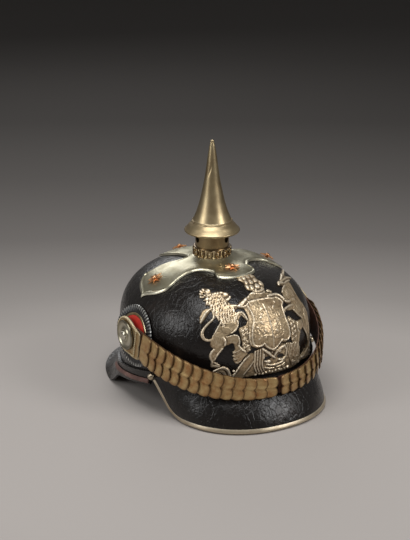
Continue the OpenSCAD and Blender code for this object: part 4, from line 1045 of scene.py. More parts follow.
def draw_lion(r):
    r.area([
        (-45.5, 88.5), (-42, 90), (-38, 91), (-33, 91.3), (-30, 90.3), (-26.5, 89.5), (-25, 88),
        (-25.6, 86), (-24.6, 84.6), (-27.5, 82), (-30, 81), (-29, 78.8), (-26, 77), (-24, 76.6),
        (-23.6, 74), (-28, 72), (-27.5, 69.8), (-23, 70.2), (-21, 67.5), (-20.3, 61.8), (-22, 60.8),
        (-23.3, 64), (-25.2, 66.3), (-28, 63.5), (-30.2, 60), (-30.6, 57.5), (-33, 54), (-37, 52),
        (-42.5, 50.6), (-40, 50.6), (-35, 50.7), (-32.2, 48.5), (-31.5, 44), (-32.6, 40.5), (-30.5, 37),
        (-27, 33), (-26.5, 30.5), (-30.5, 27), (-33, 23.5), (-36, 22.8), (-38, 25.5), (-39, 28.5),
        (-38, 31), (-39, 34.5), (-37.2, 37), (-37.5, 41.5), (-39, 43.2), (-42.3, 42.2), (-44.5, 41.7),
        (-47.5, 38.5), (-51, 33), (-53, 29.8), (-52, 27.5), (-48.8, 24.2), (-50, 22.8), (-54.5, 23),
        (-56.3, 26), (-55.8, 29), (-57, 32.5), (-56.8, 35.5), (-55, 38), (-53.6, 40.5), (-55.3, 43),
        (-55.8, 46), (-55, 50), (-53, 52.3), (-50, 56.3), (-47, 60.5), (-44, 63.5), (-44.6, 66), (-46, 70),
        (-46.8, 75), (-46.5, 79), (-47.9, 81.5), (-47, 85)], 0.75, 1.0, 2)
    # Body, rump and thighs, then the lines of its limbs
    r.bumps([(-38, 58, 7, 5, 0, 0.35, 20), (-49.5, 48.5, 5.2, 7.2, 0, 0.5, -20),
             (-37.5, 46.3, 5, 4.2, 0, 0.5), (-36, 62.5, 6, 3.5, 0, 0.25), (-33, 30, 4, 5, 0, 0.3),
             (-36, 86, 8, 4.5, 0, 0.3)])
    r.strokes([
        ([(-43.4, 63.8), (-47, 60), (-50, 56), (-53.2, 51.8)], (0.8, 0.6), 1.3),
        ([(-45.3, 50), (-43.9, 46), (-44.6, 42.4)], (0.6, 0.8, 0.6), 1.45),
        ([(-42, 49.7), (-39, 50.1), (-35.2, 50.1), (-32.9, 48), (-32.3, 44), (-33, 41)],
         (0.5, 0.8, 0.7), 1.4),
        ([(-33.4, 40), (-31, 36.2), (-28, 33.2)], (0.7, 0.9, 0.6), 1.5),
        ([(-30, 62), (-31, 58), (-33.6, 54.8), (-38, 52.3)], (1.2, 0.7, 0.5), 1.3),
        ([(-43.5, 63.5), (-42.3, 61.5), (-42.8, 59)], (1.4, 1.2, 0.6), 1.4),
        ([(-53.4, 40.3), (-55.8, 37), (-56, 33), (-54.9, 29.6), (-54.8, 26.5)], (1.0, 1.1, 0.9), 1.3),
        ([(-47, 39.8), (-51, 34.6), (-53.3, 30.2)], (0.9, 0.7), 1.25),
        ([(-55, 25.3), (-52.5, 25), (-50, 23.8)], (1.1, 1.0, 0.7), 1.3),
        ([(-53, 28), (-51.5, 26.5), (-49.8, 25.2)], (0.8, 0.6), 1.2),
        ([(-36, 75), (-31, 76.6), (-25.2, 75.5)], (2.2, 1.6, 1.1), 1.35),
        ([(-34, 67), (-29, 68), (-25.5, 69.3), (-22.6, 68.2), (-21.8, 64.8), (-21, 61.9)],
         (1.6, 1.1, 0.7), 1.4),
        ([(-25.4, 67.6), (-24, 65.6), (-22.8, 63)], (0.6, 0.4), 1.1)])
    for k in range(6):
        r.groove([(-42.5, 60.5 - 1.5 * k), (-38, 60 - 1.4 * k), (-33 - 0.7 * k, 58.8 - 0.9 * k)], 0.35, 0.16)
        r.groove([(-53.5 + 1.5 * k, 50 + 0.3 * k), (-52.6 + 1.3 * k, 46), (-52.5 + 1.3 * k, 42.5)], 0.35, 0.2)
    for x, v in ((-37.8, 34.6), (-38, 31.3), (-37.5, 28.1), (-36, 24.8)):
        r.bump(x, v, 1.5, 1.4, 1.2)
        r.stroke([(x + 1, v), (x + 3.4, v + 0.6), (x + 5.6, v + 1.8)], (0.7, 0.4), 1.25)
    # Curls of the mane
    for row in range(15):
        v = 89.6 - 1.85 * row
        left = np.interp(v, (63, 66, 70, 79, 81.5, 85, 88.5, 90),
                         (-43, -44.5, -46, -46.5, -47.8, -47, -45, -42))
        right = np.interp(v, (63, 66, 72, 77, 80, 84, 90), (-31, -28.5, -28.5, -27.5, -30.5, -31.5, -33))
        turn = math.radians(np.interp(v, (63, 75, 88), (252, 235, 200)))
        for x in np.arange(left + 0.6 + 1.1 * (row % 2), right, 2.15):
            a, b = x + r.rng.uniform(-0.4, 0.4), v + r.rng.uniform(-0.4, 0.4)
            c, s = math.cos(turn + r.rng.uniform(-0.3, 0.3)), math.sin(turn + r.rng.uniform(-0.3, 0.3))
            r.stroke([(a, b), (a + 1.4 * c - 0.5 * s, b + 1.4 * s + 0.5 * c), (a + 2.9 * c, b + 2.9 * s)],
                     (0.85, 0.7, 0.25), r.rng.uniform(1.3, 1.65), steps=3)
    # Face
    r.bumps([(-33, 86, 3.4, 2.8, 1.3), (-28.3, 87.6, 2.6, 1.5, 1.55, 0, -12),
             (-30.6, 89.3, 1.8, 0.9, 1.6, 0, -10)])
    r.stroke([(-30.6, 82.3), (-28.2, 83), (-25.6, 84.8)], (0.8, 0.9, 0.6), 1.55)
    r.groove([(-31.2, 84.8), (-28.5, 85), (-25.8, 86.2)], 0.7, 0.75)
    r.groove([(-31.8, 87.6), (-30.6, 87.8)], 0.5, 0.4)
    # Its crown
    r.area([(-48.8, 88), (-47.6, 91.5), (-45.6, 94.2), (-42, 96), (-39, 95.2), (-37.6, 93.4), (-38.5, 91),
            (-43, 89.8), (-46, 88.2)], 0.7, 0.6)
    for x, v, k in ((-48.4, 88.9, 1.1), (-47.3, 91.6, 1.0), (-45.4, 93.8, 1.1), (-42.6, 95, 1.2),
                    (-41.2, 92.6, 1.2), (-38.9, 93.6, 1.4), (-44.9, 89.6, 1.0), (-42.3, 90.4, 0.9)):
        r.bump(x, v, k, k, 1.4)
    r.cut([(-47.1, 90), (-46.4, 90.8), (-45.8, 90.2), (-46.4, 89.5)])
    r.cut([(-45, 91.3), (-44.2, 92.3), (-43.4, 91.5), (-44.2, 90.6)])
    # Tail and its tuft
    r.stroke([(-53.5, 49.6), (-57, 49.5), (-59.6, 52), (-60, 56), (-58, 60.3), (-53.5, 64.5), (-49, 67.6),
              (-47, 70.8), (-46.5, 75)], (1.2, 1.3, 1.0, 0.8), 1.15)
    r.stroke([(-46.8, 76.8), (-51.5, 75), (-55.5, 70.8), (-59, 65.8)], (1.0, 2.5, 2.2, 0.5), 1.0)
    r.stroke([(-47.2, 77), (-52, 74), (-55.8, 70), (-58.6, 66.3)], (0.5, 0.8, 0.4), 1.45)
    r.groove([(-47.6, 75.4), (-51.6, 72.6), (-54.8, 69)], 0.4, 0.25)


def draw_scroll(r):
    r.area([(-55.6, 17.4), (-54.6, 19.8), (-51, 21.8), (-47, 22.7), (-43.2, 20.6), (-41, 16.5), (-40, 12.5),
            (-39, 10), (-45, 12.6), (-50, 15.2)], 0.5)
    r.strokes([
        ([(-55, 17.8), (-53.6, 20), (-50, 21.4), (-46.5, 21.7), (-43.2, 19.3), (-41.7, 15.5), (-40.7, 12.6)],
         (0.8, 1.5, 0.9), 1.4),
        ([(-54.3, 16.9), (-51.2, 18.5), (-48.5, 16.2)], (0.8, 0.9, 0.6), 1.15),
        ([(-50.5, 20), (-46.8, 18), (-44.8, 14.4)], (0.8, 1.4, 0.8), 1.25)])
    r.bump(-38.2, 17, 1.3, 1.2, 1.4)
    r.area([(-40.5, 13), (-38.8, 10.2), (-34, 8.6), (-29, 10), (-19.5, 21.5), (-19.5, 29.5), (-25, 30.6),
            (-29.5, 26.6), (-34, 21), (-37.5, 15.6)], 0.65)
    r.stroke([(-38.6, 12.6), (-36, 16.3), (-33, 20.6), (-29, 25.6), (-25, 28.8)], (0.7, 0.85, 0.6), 1.35)
    r.stroke([(-29.8, 12), (-26, 16.5), (-22, 21.2), (-19.4, 25)], (0.6, 0.75, 0.6), 1.25)
    r.bump(-30, 18.5, 8, 3.6, 0, 0.25, 52)


def draw_shield(r):
    outline = [
        (0, 84.4), (-6, 84.4), (-10, 82.3), (-15, 80.8), (-21, 78.7), (-25, 75.7), (-24.5, 73),
        (-20.5, 71.5), (-19.5, 66), (-20.5, 60), (-22.5, 54), (-24, 47), (-24.3, 41), (-22, 36.5),
        (-17, 33.9), (-11, 34.6), (-6, 30.9), (-1, 28.6), (4, 30.7), (9, 34.7), (14, 34.1), (19, 36),
        (21.7, 40), (21.8, 46), (20.8, 53), (19.9, 59), (20.7, 65), (23.5, 69.3), (27, 72.3), (25.6, 76),
        (21, 79.5), (15, 80.6), (9, 82.6), (6, 84.4)]
    r.area(outline, 1.15, 1.0)
    # The field inside the frame rises to a roof in the middle
    field = curve_through([
        (-13, 76.5), (-15.8, 71), (-15, 66), (-15.6, 60), (-18.6, 54), (-20.5, 48), (-21.2, 42),
        (-20, 37.6), (-16.5, 35.9), (-12.8, 35.7), (-10, 37.3), (-7.8, 34.2), (-4.5, 31.6), (-0.6, 30.2),
        (3, 31.8), (6.5, 34.8), (10, 37.3), (13, 36.2), (17, 36.4), (19.5, 39.5), (20, 44.5), (19.4, 50),
        (18, 57), (18.4, 62), (19.4, 67), (22.2, 70.3), (20, 73.3), (17.8, 75.6), (12, 75.6), (8, 76.6)], 3,
        True)
    w = r.window(field, 2)
    d = r.edge_distance(field, w)
    roof = 1.5 + 0.85 * (1 - np.abs(r.x[w] + 0.6) / 21) * smooth(d / 8)
    r.high[w] = np.where(d > 0, np.maximum(r.high[w], roof), r.high[w])
    # Raised borders and the ridge down the middle
    r.stroke(field.tolist() + [field[0].tolist()], (0.75, 0.75), 0, 0.6, steps=1)
    r.strokes([
        ([(9, 78), (15, 78.4), (20, 78.2), (23, 76.6), (26, 72.3)], (0.9, 0.9), 0, 0.75),
        ([(-24, 74.3), (-19.5, 76.3), (-13, 80)], (1.4, 1.5, 1.0), 0, 1.0),
        ([(-22.5, 73.4), (-18, 73.6), (-14.6, 75.2)], (0.7, 0.9, 0.6), 0, 0.7),
        ([(-14.5, 79), (-13, 76), (-12.2, 73)], (0.7, 0.6), 0, 0.4),
        ([(-10.6, 81), (-8.6, 83), (-5.5, 83.8), (-2.6, 82.8)], (0.8, 0.8), 0, 0.8),
        ([(-22.8, 50), (-23.3, 44), (-22.6, 39)], (0.5, 0.6, 0.5), 0, 0.4),
        ([(-0.8, 72), (-0.8, 52), (-0.8, 31.5)], (0.55, 0.55), 0, 0.4)])
    # Worn charges in the quarters: plain lumps without a meaning
    for x0, v0 in ((-8.5, 67), (7.5, 67), (-9.5, 49), (8.5, 49)):
        for k in range(20):
            x, v = x0 + r.rng.uniform(-5.4, 5.4), v0 + r.rng.uniform(-7.5, 7.5)
            wide, tall = r.rng.uniform(0.6, 1.8), r.rng.uniform(0.5, 1.1)
            lift, turn = r.rng.uniform(0.12, 0.34), r.rng.uniform(0, 180)
            r.bump(x, v, wide, tall, 0, lift, turn)
    r.strokes([
        ([(-15.4, 57.6), (-8, 57), (-1, 56.4)], (0.4, 0.4), 0, 0.25),
        ([(0, 56.4), (8, 57), (17.6, 57.6)], (0.4, 0.4), 0, 0.25),
        ([(-14, 43.6), (-9, 44.4), (-2, 43.6)], (0.4, 0.5, 0.4), 0, 0.25),
        ([(0.6, 41.5), (6, 40.5), (12, 42.5)], (0.4, 0.5, 0.4), 0, 0.25)])


def draw_crown(r):
    r.area([
        (-6.5, 87.5), (-6.4, 91.5), (-4.7, 94.3), (-7.3, 97), (-6.5, 99.3), (0, 100.8), (8, 101),
        (12, 98.5), (11.2, 95.5), (14, 92), (14, 89), (12, 86.5), (10, 84.5), (9.5, 82), (-1.5, 82),
        (-0.5, 84.8), (-3.5, 86)], 1.1)
    for x, v, a, b, high in (
            (-4.6, 90, 1.7, 2.2, 2.0), (-0.6, 88.6, 2.0, 2.4, 2.0), (5.4, 88.6, 2.6, 2.2, 2.3),
            (11.2, 90.4, 2.3, 2.4, 1.9), (-2.4, 93.8, 1.7, 1.9, 1.9), (2.4, 93.2, 2.3, 2.1, 2.0),
            (7.8, 93.8, 2.1, 1.9, 2.0), (-5, 97.6, 1.7, 1.4, 1.7), (-1, 97.8, 1.9, 1.7, 1.9),
            (3.6, 98, 2.0, 1.8, 1.9), (8.4, 98, 2.0, 1.6, 1.8), (1.5, 86, 1.4, 1.0, 2.0),
            (8.6, 86.2, 1.5, 1.1, 1.8), (13.6, 83, 2.4, 1.3, 1.3), (16, 81.6, 1.6, 1.2, 1.2)):
        r.bump(x, v, a, b, high)
        r.groove([(x - a * 0.4, v + b * 0.3), (x, v - b * 0.2), (x + a * 0.4, v + b * 0.3)], 0.3, 0.25)
    r.stroke([(-2.2, 85.2), (4, 84), (10.3, 85)], (0.8, 0.9, 0.8), 1.8)
    r.stroke([(-0.5, 82.6), (4, 81.6), (9.5, 82.6)], (0.7, 0.7), 1.7)


def draw_leaves(r):
    r.area([
        (-31, 55), (-27, 56.3), (-23.6, 57.4), (-21.5, 60.5), (-18.5, 62), (-20, 54), (-21.6, 47),
        (-22, 41), (-22.7, 36.5), (-23, 34), (-27, 32), (-28.5, 33.5), (-31.3, 37.5), (-30.4, 41),
        (-30.8, 45), (-31, 50)], 0.6, 0.6)
    r.area([
        (20.6, 53), (23.5, 57), (27, 54), (31, 51.4), (32.6, 50), (32, 45), (31.4, 40), (30.8, 36),
        (27, 33.5), (22.7, 32.6), (22, 36), (20, 40), (19, 46)], 0.6, 0.6)
    spots = [
        (-28.6, 52.6), (-25.2, 53.6), (-28.2, 48.7), (-24.8, 49.6), (-27.9, 44.8), (-25.4, 42.2),
        (-28.7, 40.7), (-26.2, 38), (-29.2, 37), (-25.4, 34.8), (24.2, 53.6), (28, 50.6), (24.4, 49),
        (28.6, 46), (24.6, 44.4), (28.4, 41.5), (25, 39.8), (28.4, 36.8), (24.8, 35.4)]
    for x, v in spots:
        turn = r.rng.uniform(0, 90)
        for k in range(4):
            a = turn + 90 * k
            r.bump(x + 1.05 * cosd(a), v + 1.05 * sind(a), 1.05, 0.6, r.rng.uniform(1.0, 1.3), turn=a)
        r.bump(x, v, 0.55, 0.55, 1.5)


def draw_foot(r):
    """The ornament under the shield: ribs, looping ribbons with openings, and flowing lines to the right."""
    r.area([
        (-20, 31.5), (-16, 33), (-11, 33.8), (-6, 30), (-1, 27.8), (4, 30), (9, 33.8), (14, 33.4),
        (18, 33.4), (22.5, 32), (27, 33.5), (30.8, 37), (31.4, 30), (33.2, 24), (36, 18), (38, 13.6),
        (34, 11), (27, 9), (20, 8), (10, 7.4), (0, 7.4), (-10, 8.2), (-20, 9.2), (-29, 10.4), (-20.5, 22),
        (-20.4, 28)], 0.65)
    for k in range(4):
        x = -19.2 + 2.5 * k
        r.stroke([(x, 31.8), (x - 0.4, 25), (x - 0.6, 17), (x + 1.6, 11)], (0.6, 0.95, 0.9, 0.5), 1.3)
    for k in range(8):
        a = 15.5 + 2.3 * k
        r.stroke([(a, 32.3 - 0.2 * k), (a + 1.8, 25 - 0.2 * k), (a + 4.6 - 0.5 * k, 17.5 - 0.3 * k),
                  (a + 7.5 - 1.1 * k, 10.5 + 0.2 * k)], (0.5, 0.85, 0.8, 0.5), 1.2)
    r.strokes([
        ([(-12, 32.4), (-8.2, 29.6), (-5, 27), (-2, 24), (1.4, 21.6)], (0.8, 1.4, 1.2, 0.7), 1.6),
        ([(13, 31.2), (9, 30.2), (5, 28.4), (2, 26.2), (0, 23.4)], (0.8, 1.6, 1.3, 0.7), 1.6),
        ([(-11, 27), (-10.9, 24), (-8, 19.8), (-4, 19.2)], (0.9, 1.0, 1.1, 0.7), 1.5),
        ([(13.4, 30), (15, 26), (14, 21), (10, 18.8), (5, 19.6)], (0.8, 1.0, 1.0, 0.7), 1.4),
        ([(-2, 27.5), (-1, 29), (3, 29)], (0.6, 0.7), 1.3),
        ([(-8, 17.4), (-2, 15.4), (5, 15.6), (11, 17)], (0.7, 1.1, 0.7), 1.3),
        ([(-10, 14.8), (-5, 13), (0, 12.6)], (0.6, 0.9, 0.6), 1.2),
        ([(3, 12.8), (8, 13), (13, 15)], (0.6, 0.9, 0.6), 1.2)])
    r.bumps([(-6, 19.9, 2.6, 1.1, 1.7), (6.4, 27.4, 2.6, 1.4, 1.7)])
    for k in range(11):
        r.bump(-19 + 3.5 * k, 9.7 + 0.5 * math.sin(2.1 * k), 1.5, 1.0, 1.3, turn=20 * (-1) ** k)
    for hole in ([(-10.4, 22), (-9.4, 24), (-6, 24.5), (-3.2, 22.9), (-5.6, 21.7), (-8.6, 21.3)],
                 [(3.6, 22.4), (6, 24.4), (10, 23.9), (12.2, 21.4), (9, 20.9), (6, 21.2)],
                 [(-22.5, 35), (-21, 34.8), (-20.2, 33.4), (-21.6, 32.8)],
                 [(20.2, 35.2), (22, 34.6), (23, 33), (21, 32.8)]):
        r.cut(hole)


def draw_foliage(r):
    """Small curled leaves over the field between the shield, the scroll and the stag's legs."""
    for _ in range(150):
        x, v = r.rng.uniform(6, 52), r.rng.uniform(9, 44)
        # None beyond the stag's legs and none under the shield
        if v > 46 - 0.45 * x or (x < 20 and v > 22):
            continue
        turn = r.rng.uniform(0, 180)
        c, s = 1.8 * cosd(turn), 1.8 * sind(turn)
        r.bump(x, v, r.rng.uniform(1.8, 2.8), r.rng.uniform(0.9, 1.4), 0, 0.32, turn)
        r.groove([(x - c, v - s), (x + c, v + s)], 0.3, 0.2)


def draw_stag(r):
    r.area([
        (30.3, 86.3), (32, 88.8), (36, 89.8), (41, 91.2), (46, 94.4), (50, 95), (56, 97), (60, 97.6),
        (60.4, 95.8), (55, 94.2), (51.4, 92), (57, 90.5), (60, 89), (59, 87.6), (53, 87.6), (50, 85),
        (49.3, 81), (48.3, 77), (48.5, 72), (50.3, 67), (53.5, 62), (56, 56.5), (56, 50), (54.4, 44),
        (55, 36), (56.2, 29), (56.8, 23.5), (59, 21.6), (60, 17), (58, 13), (50, 11.5), (44, 12),
        (38, 12.6), (36.5, 15), (38, 17.3), (42, 19.8), (47, 22.7), (51, 24.5), (51.3, 29), (49.5, 33),
        (45.5, 38), (43.5, 42.5), (39.5, 42.2), (36.6, 39.2), (35, 34), (33.2, 28.5), (31.2, 33), (31, 38),
        (31.8, 45), (33.3, 50), (37, 51), (42, 51.6), (38.5, 54.5), (35.5, 58), (33, 60.8), (27, 61.5),
        (23, 62), (21, 60.6), (19.9, 62.3), (21.5, 65), (27, 66.3), (29, 67.5), (25.5, 70), (27, 72.5),
        (28.2, 76), (29.6, 79.8), (33, 82.3), (36.5, 84), (33, 84.7), (30.8, 85)], 0.75, 1.0, 2)
    r.bumps([(39, 64, 6, 8, 0, 0.75, 20), (50.5, 52, 4.2, 9, 0, 0.8), (37.5, 46.3, 4.4, 4.6, 0, 0.8),
             (38, 75, 7, 6, 0, 0.6, 50), (34, 79, 3, 5, 0, 0.4, -20), (46, 17, 6, 3, 0, 0.5)])
    r.strokes([
        ([(38, 89), (44, 92), (50, 93.6), (59.6, 96.6)], (0.7, 1.0, 0.6), 1.35),
        ([(35, 87.4), (43, 89), (51, 89.8), (59, 88.5)], (0.8, 0.9, 0.6), 1.3),
        ([(39, 85.8), (47, 87), (52.4, 87)], (0.7, 0.7, 0.5), 1.3),
        ([(44, 91.8), (45.6, 93.6), (48.6, 94.3)], (0.6, 0.5), 1.4),
        ([(30.8, 86.2), (34.5, 87.2), (38, 86.4)], (0.9, 1.5, 1.0), 1.5),
        ([(29.4, 79), (33, 81.8), (38, 84)], (0.7, 0.8), 1.3),
        ([(36, 65.4), (30, 65.6), (25, 64.8), (21, 63.2), (20.6, 61.6)], (1.6, 1.0, 1.1, 0.7), 1.4),
        ([(36, 70.5), (31, 69.4), (26.5, 71)], (1.7, 1.3, 0.9), 1.35),
        ([(33.2, 61), (35.4, 58.4), (38.2, 55.2), (42.5, 52)], (1.0, 0.8, 0.6), 1.3),
        ([(33.6, 50.4), (32.6, 46), (33, 41.5), (35.4, 39.4)], (0.6, 0.8, 0.6), 1.3),
        ([(42.6, 43), (45.2, 39), (49.4, 33.8), (51.3, 29)], (0.7, 0.9, 0.7), 1.25),
        ([(53.4, 45), (53.6, 36), (54.6, 28), (54, 23)], (1.2, 1.4, 1.2), 1.3),
        ([(37.6, 15.4), (41.5, 16), (45, 18.8), (50, 21.5)], (1.2, 1.1, 0.8), 1.4),
        ([(50, 16), (54.5, 14.4), (58.4, 13.8)], (0.9, 1.1, 0.7), 1.3),
        ([(52, 19.6), (56, 19), (58.6, 17.6)], (0.8, 1.0, 0.7), 1.3)])
    for k in range(7):
        r.groove([(31 + 2.2 * k, 80.5 + 0.5 * k), (33 + 2.1 * k, 76.5), (34 + 2.0 * k, 72)], 0.5, 0.4)
    for k in range(5):
        r.groove([(36 + 3.2 * k, 67.5 - k), (38 + 3 * k, 62 - k), (41 + 2.6 * k, 56.5 - k)], 0.5, 0.34)


def blurred(field, times):
    """A height field with each point averaged with its neighbours a few times."""
    for _ in range(times):
        for axis in (0, 1):
            field = 0.5 * field + 0.25 * (np.roll(field, 1, axis) + np.roll(field, -1, axis))
    return field


def relief_field():
    """All the figures, the later ones over the earlier, with small tool marks and a slight swell."""
    r = Relief()
    for draw in (draw_leaves, draw_foot, draw_foliage, draw_scroll,
                 draw_shield, draw_crown, draw_stag, draw_lion):
        draw(r)
    marks = blurred(r.rng.standard_normal(r.high.shape), 3)
    marks -= blurred(marks, 12)
    r.high += np.where(r.inside > 0.3, 0.045 * marks / marks.std(), 0)
    swell = blurred(r.rng.standard_normal(r.high.shape), 16)
    r.high += np.where(r.inside > 0.6, 0.05 * swell / swell.std(), 0)
    return r


def on_plate(x, v, high):
    """Points over the skull's front: the places on the skull that the drawing names, lifted by a height."""
    x = x + PLATE_SHIFT
    lo, hi = np.zeros(x.shape), np.full(x.shape, 140.0)
    c, s = math.cos(PLATE_VIEW), math.sin(PLATE_VIEW)
    for _ in range(40):
        mid = (lo + hi) / 2
        y, z = v * s - mid * c, v * c + mid * s
        rho = np.hypot(x / (HALF_W + SKIN_GAP), (y + LEAD) / (HALF_L + SKIN_GAP))
        within = rho ** PLAN_POW + np.clip((z - BASE_Z) / (RISE + SKIN_GAP), 0, 1.5) ** RISE_POW < 1
        lo, hi = np.where(within, mid, lo), np.where(within, hi, mid)
    p = vec(x, v * s - lo * c, v * c + lo * s)
    return p + dome_out(p) * np.asarray(high)[..., None]


def make_plate():
    r = relief_field()
    # Grid cells whose four corners lie in the outline, the corners they use and those on the rim
    solid = r.inside > 0
    cells = solid[:-1, :-1] & solid[1:, :-1] & solid[:-1, 1:] & solid[1:, 1:]
    used, full = np.zeros(solid.shape, bool), np.zeros(solid.shape, bool)
    for a in (slice(None, -1), slice(1, None)):
        for b in (slice(None, -1), slice(1, None)):
            used[a, b] |= cells
    full[1:-1, 1:-1] = cells[:-1, :-1] & cells[1:, :-1] & cells[:-1, 1:] & cells[1:, 1:]
    rim = used & ~full
    # Points on the rim slide out to the true outline
    gx, gv = np.gradient(r.inside, RELIEF_STEP)
    slope = np.maximum(np.hypot(gx, gv), 0.5)
    slide = np.where(rim, np.clip(r.inside / slope, 0, 0.9 * RELIEF_STEP), 0)
    x, v = r.x - slide * gx / slope, r.v - slide * gv / slope
    high = np.minimum(np.maximum(r.high, 0.4), RIM_HIGH + 1.6 * np.maximum(r.inside, 0))
    high[rim] = np.minimum(high[rim], RIM_HIGH)
    # Front and back skins, and the walls between their open edges
    n = int(used.sum())
    index = np.full(solid.shape, -1)
    index[used] = np.arange(n)
    front, back = on_plate(x[used], v[used], high[used]), on_plate(x[used], v[used], np.zeros(n))
    i, j = np.nonzero(cells)
    quads = np.stack([index[i, j], index[i + 1, j], index[i + 1, j + 1], index[i, j + 1]], 1)
    edges = {}
    for q in quads.tolist():
        for a, b in zip(q, q[1:] + q[:1]):
            if edges.pop((b, a), None) is None:
                edges[(a, b)] = True
    walls = [(b, a, a + n, b + n) for a, b in edges]
    faces = quads.tolist() + (quads[:, ::-1] + n).tolist() + walls
    obj = piece("front_plate_relief", np.concatenate([front, back]), faces, M["plate_metal"],
                replaces=["front_plate"], sharp=70)
    # How far each point stands above or below its surroundings, for the painted shade in the hollows and the
    # painted highlights on the crests
    level = blurred(np.where(used, high, 0), 26) / np.maximum(blurred(np.where(used, 1.0, 0.0), 26), 0.05)
    stand = (high - level)[used]
    shares = {"hollow": np.clip(-(stand + 0.02) / 0.3, 0, 0.9), "crest_highlight": np.clip((stand - 0.08) / 0.35, 0, 1)}
    for name, share in shares.items():
        attribute = obj.data.attributes.new(name, "FLOAT", "POINT")
        attribute.data.foreach_set("value", np.concatenate([share, share * 0]))


make_plate()


# Cockades and rosettes
COCKADE_FACE, COCKADE_BACK = 91.5, -0.9
COCKADE_TURN, COCKADE_LEAN = 0.0559, 0.3057
ROSETTE_FACE = 96.5
SCREW_R, SCREW_HIGH, SCREW_BEADS, POST_R, POST_END = 3.9, 3.2, 9, 2.6, -13.7
ROSETTE_SHAPE = [
    (13.4, 0), (14.0, 0.2), (14.5, 0.8), (14.6, 1.6), (14.3, 2.3), (13.7, 2.7), (13.0, 2.6), (12.3, 2.1),
    (11.7, 1.5), (11.2, 1.2), (10.4, 0.95), (9.4, 0.85), (8.4, 0.95), (7.6, 1.25), (7.0, 1.7), (6.5, 2.2),
    (6.0, 2.45), (5.5, 2.4), (5.0, 2.5), (4.2, 2.9), (2.75, 3.05), (2.75, 0)]


def cockade_pt(r, az, h):
    """A place on the cockade, whose upper half leans in to the dome and whose front turns in."""
    f, u = r * sind(az), r * cosd(az)
    rise = np.where(u < 18, np.maximum(u, 0) ** 2 / 36, u - 9)
    lean = f * COCKADE_TURN + (np.maximum(f - 12, 0) / 18) ** 2 + COCKADE_LEAN * rise
    return vec(-(COCKADE_FACE - lean + h), -ROSETTE_Y - COCKADE_LEAD - f, ROSETTE_Z - COCKADE_DROP + u)


def cockade_ring(rows, cols=224):
    """A ring of the cockade from rows of radius and height, its back last. A height may vary round it."""
    az = np.linspace(0, 360, cols, endpoint=False)
    return tube_skin([cockade_pt(r, az, h) for r, h in rows])


def milled_ring():
    """The outer ring with radial teeth between two plain borders."""
    inner, outer, cols = 22.9, 30.0, 448
    wave = np.abs(cosd(np.linspace(0, 360, cols, endpoint=False) * COCKADE_TEETH)) ** 0.7
    rows = []
    for r in np.linspace(inner, outer, 18):
        deep = smooth((r - inner - 0.8) / 1.5) * smooth((outer + 0.3 - r) / 1.0)
        border = (0.3 * math.exp(-((r - inner - 0.4) / 0.3) ** 2)
                  + 0.25 * math.exp(-((r - outer + 0.3) / 0.3) ** 2))
        rows.append((r, 0.62 * deep * (wave - 0.3) + border))
    return cockade_ring(rows + [(outer, COCKADE_BACK), (inner, COCKADE_BACK)], cols)


def swelling_ring(inner, outer, high):
    """A smooth ring that swells a little between its borders."""
    radii = np.linspace(inner, outer, 13)[1:-1]
    line = [(r, high * math.sin(math.pi * (r - inner) / (outer - inner)) ** 0.6) for r in radii]
    return cockade_ring([(inner, 0.0)] + line + [(outer, 0.0), (outer, -1.0), (inner, -1.0)])


def make_cockades():
    for name, part, mat in (("ring", milled_ring(), "cockade_black"),
                            ("band", swelling_ring(20.4, 22.8, 0.3), "cockade_gold"),
                            ("centre", swelling_ring(8.3, 20.3, 0.15), "cockade_red")):
        on_both_sides(f"cockade_{name}_detail", part, mat, f"cockade_{name}")


def make_rosettes():
    origin = np.array([-ROSETTE_FACE, -ROSETTE_Y, ROSETTE_Z])
    az = np.linspace(0, 360, 144, endpoint=False)
    disc = tube_skin([vec(r * cosd(az), r * sind(az), h) for r, h in ROSETTE_SHAPE[::-1]])
    on_both_sides("rosette_disc", placed(disc, origin, FWD, UP, OUT), "rosette_silver", "rosette", sharp=60)
    head = [ball((0, 0, SCREW_HIGH), SCREW_R, 10, 24, (1, 1, 0.5))]
    for a in [360 / SCREW_BEADS * i for i in range(SCREW_BEADS)]:
        head.append(ball((SCREW_R * cosd(a), SCREW_R * sind(a), 3.35), 0.62, 6, 10))
    head.append(lathe([(0.01, POST_END), (POST_R, POST_END), (POST_R, SCREW_HIGH), (0.01, SCREW_HIGH)], 28))
    right = placed(joined(head), origin, FWD, UP, OUT)
    piece("rosette_screw_heads", *joined([right, mirrored(right)]), M["rosette_silver"],
          replaces=["rosette_posts"], sharp=60)


make_cockades()
make_rosettes()


# Chin strap
STRAP_HALF_W, STRAP_HALF_L, STRAP_T, STRAP_POW = 95.0, 116.2, 1.6, 2.15
STRAP_WIDE, STRAP_NARROW, STRAP_START, STRAP_STOP = 30.0, 18.5, 8, 89.2
# Distances of the backing's disc and of the end plate from the middle of the helmet
BACKING_FACE, END_FACE = 93.4, 95.1
SCALES, SCALES_START, SCALES_STOP, SCALE_TILT = 14, 16.2, 87.9, 8
SCALE_STEP = (SCALES_STOP - SCALES_START) / SCALES
SCALE_BACK, SCALE_T, LOBE = -2.6, 0.7, 2.9
END_R, END_REACH, END_HALF, END_DIP, END_JOIN = 18.0, 22.4, 14.0, 13, 78.5
TAB_START, TAB_STOP, TAB_HALF, TAB_LIFT = 84.2, 95.8, 4.6, 2.0


def strap_line(a):
    """The line of the strap's outer face, from its right side at 0 to the middle of the front at 90."""
    c, s = cosd(a), sind(a)
    r = 1 / (np.abs(c / STRAP_HALF_W) ** STRAP_POW + np.abs(s / STRAP_HALF_L) ** STRAP_POW) ** (1 / STRAP_POW)
    return vec(-r * c, -ROSETTE_Y - r * s, mix(ROSETTE_Z, STRAP_FRONT_Z, np.abs(s) ** 1.45))


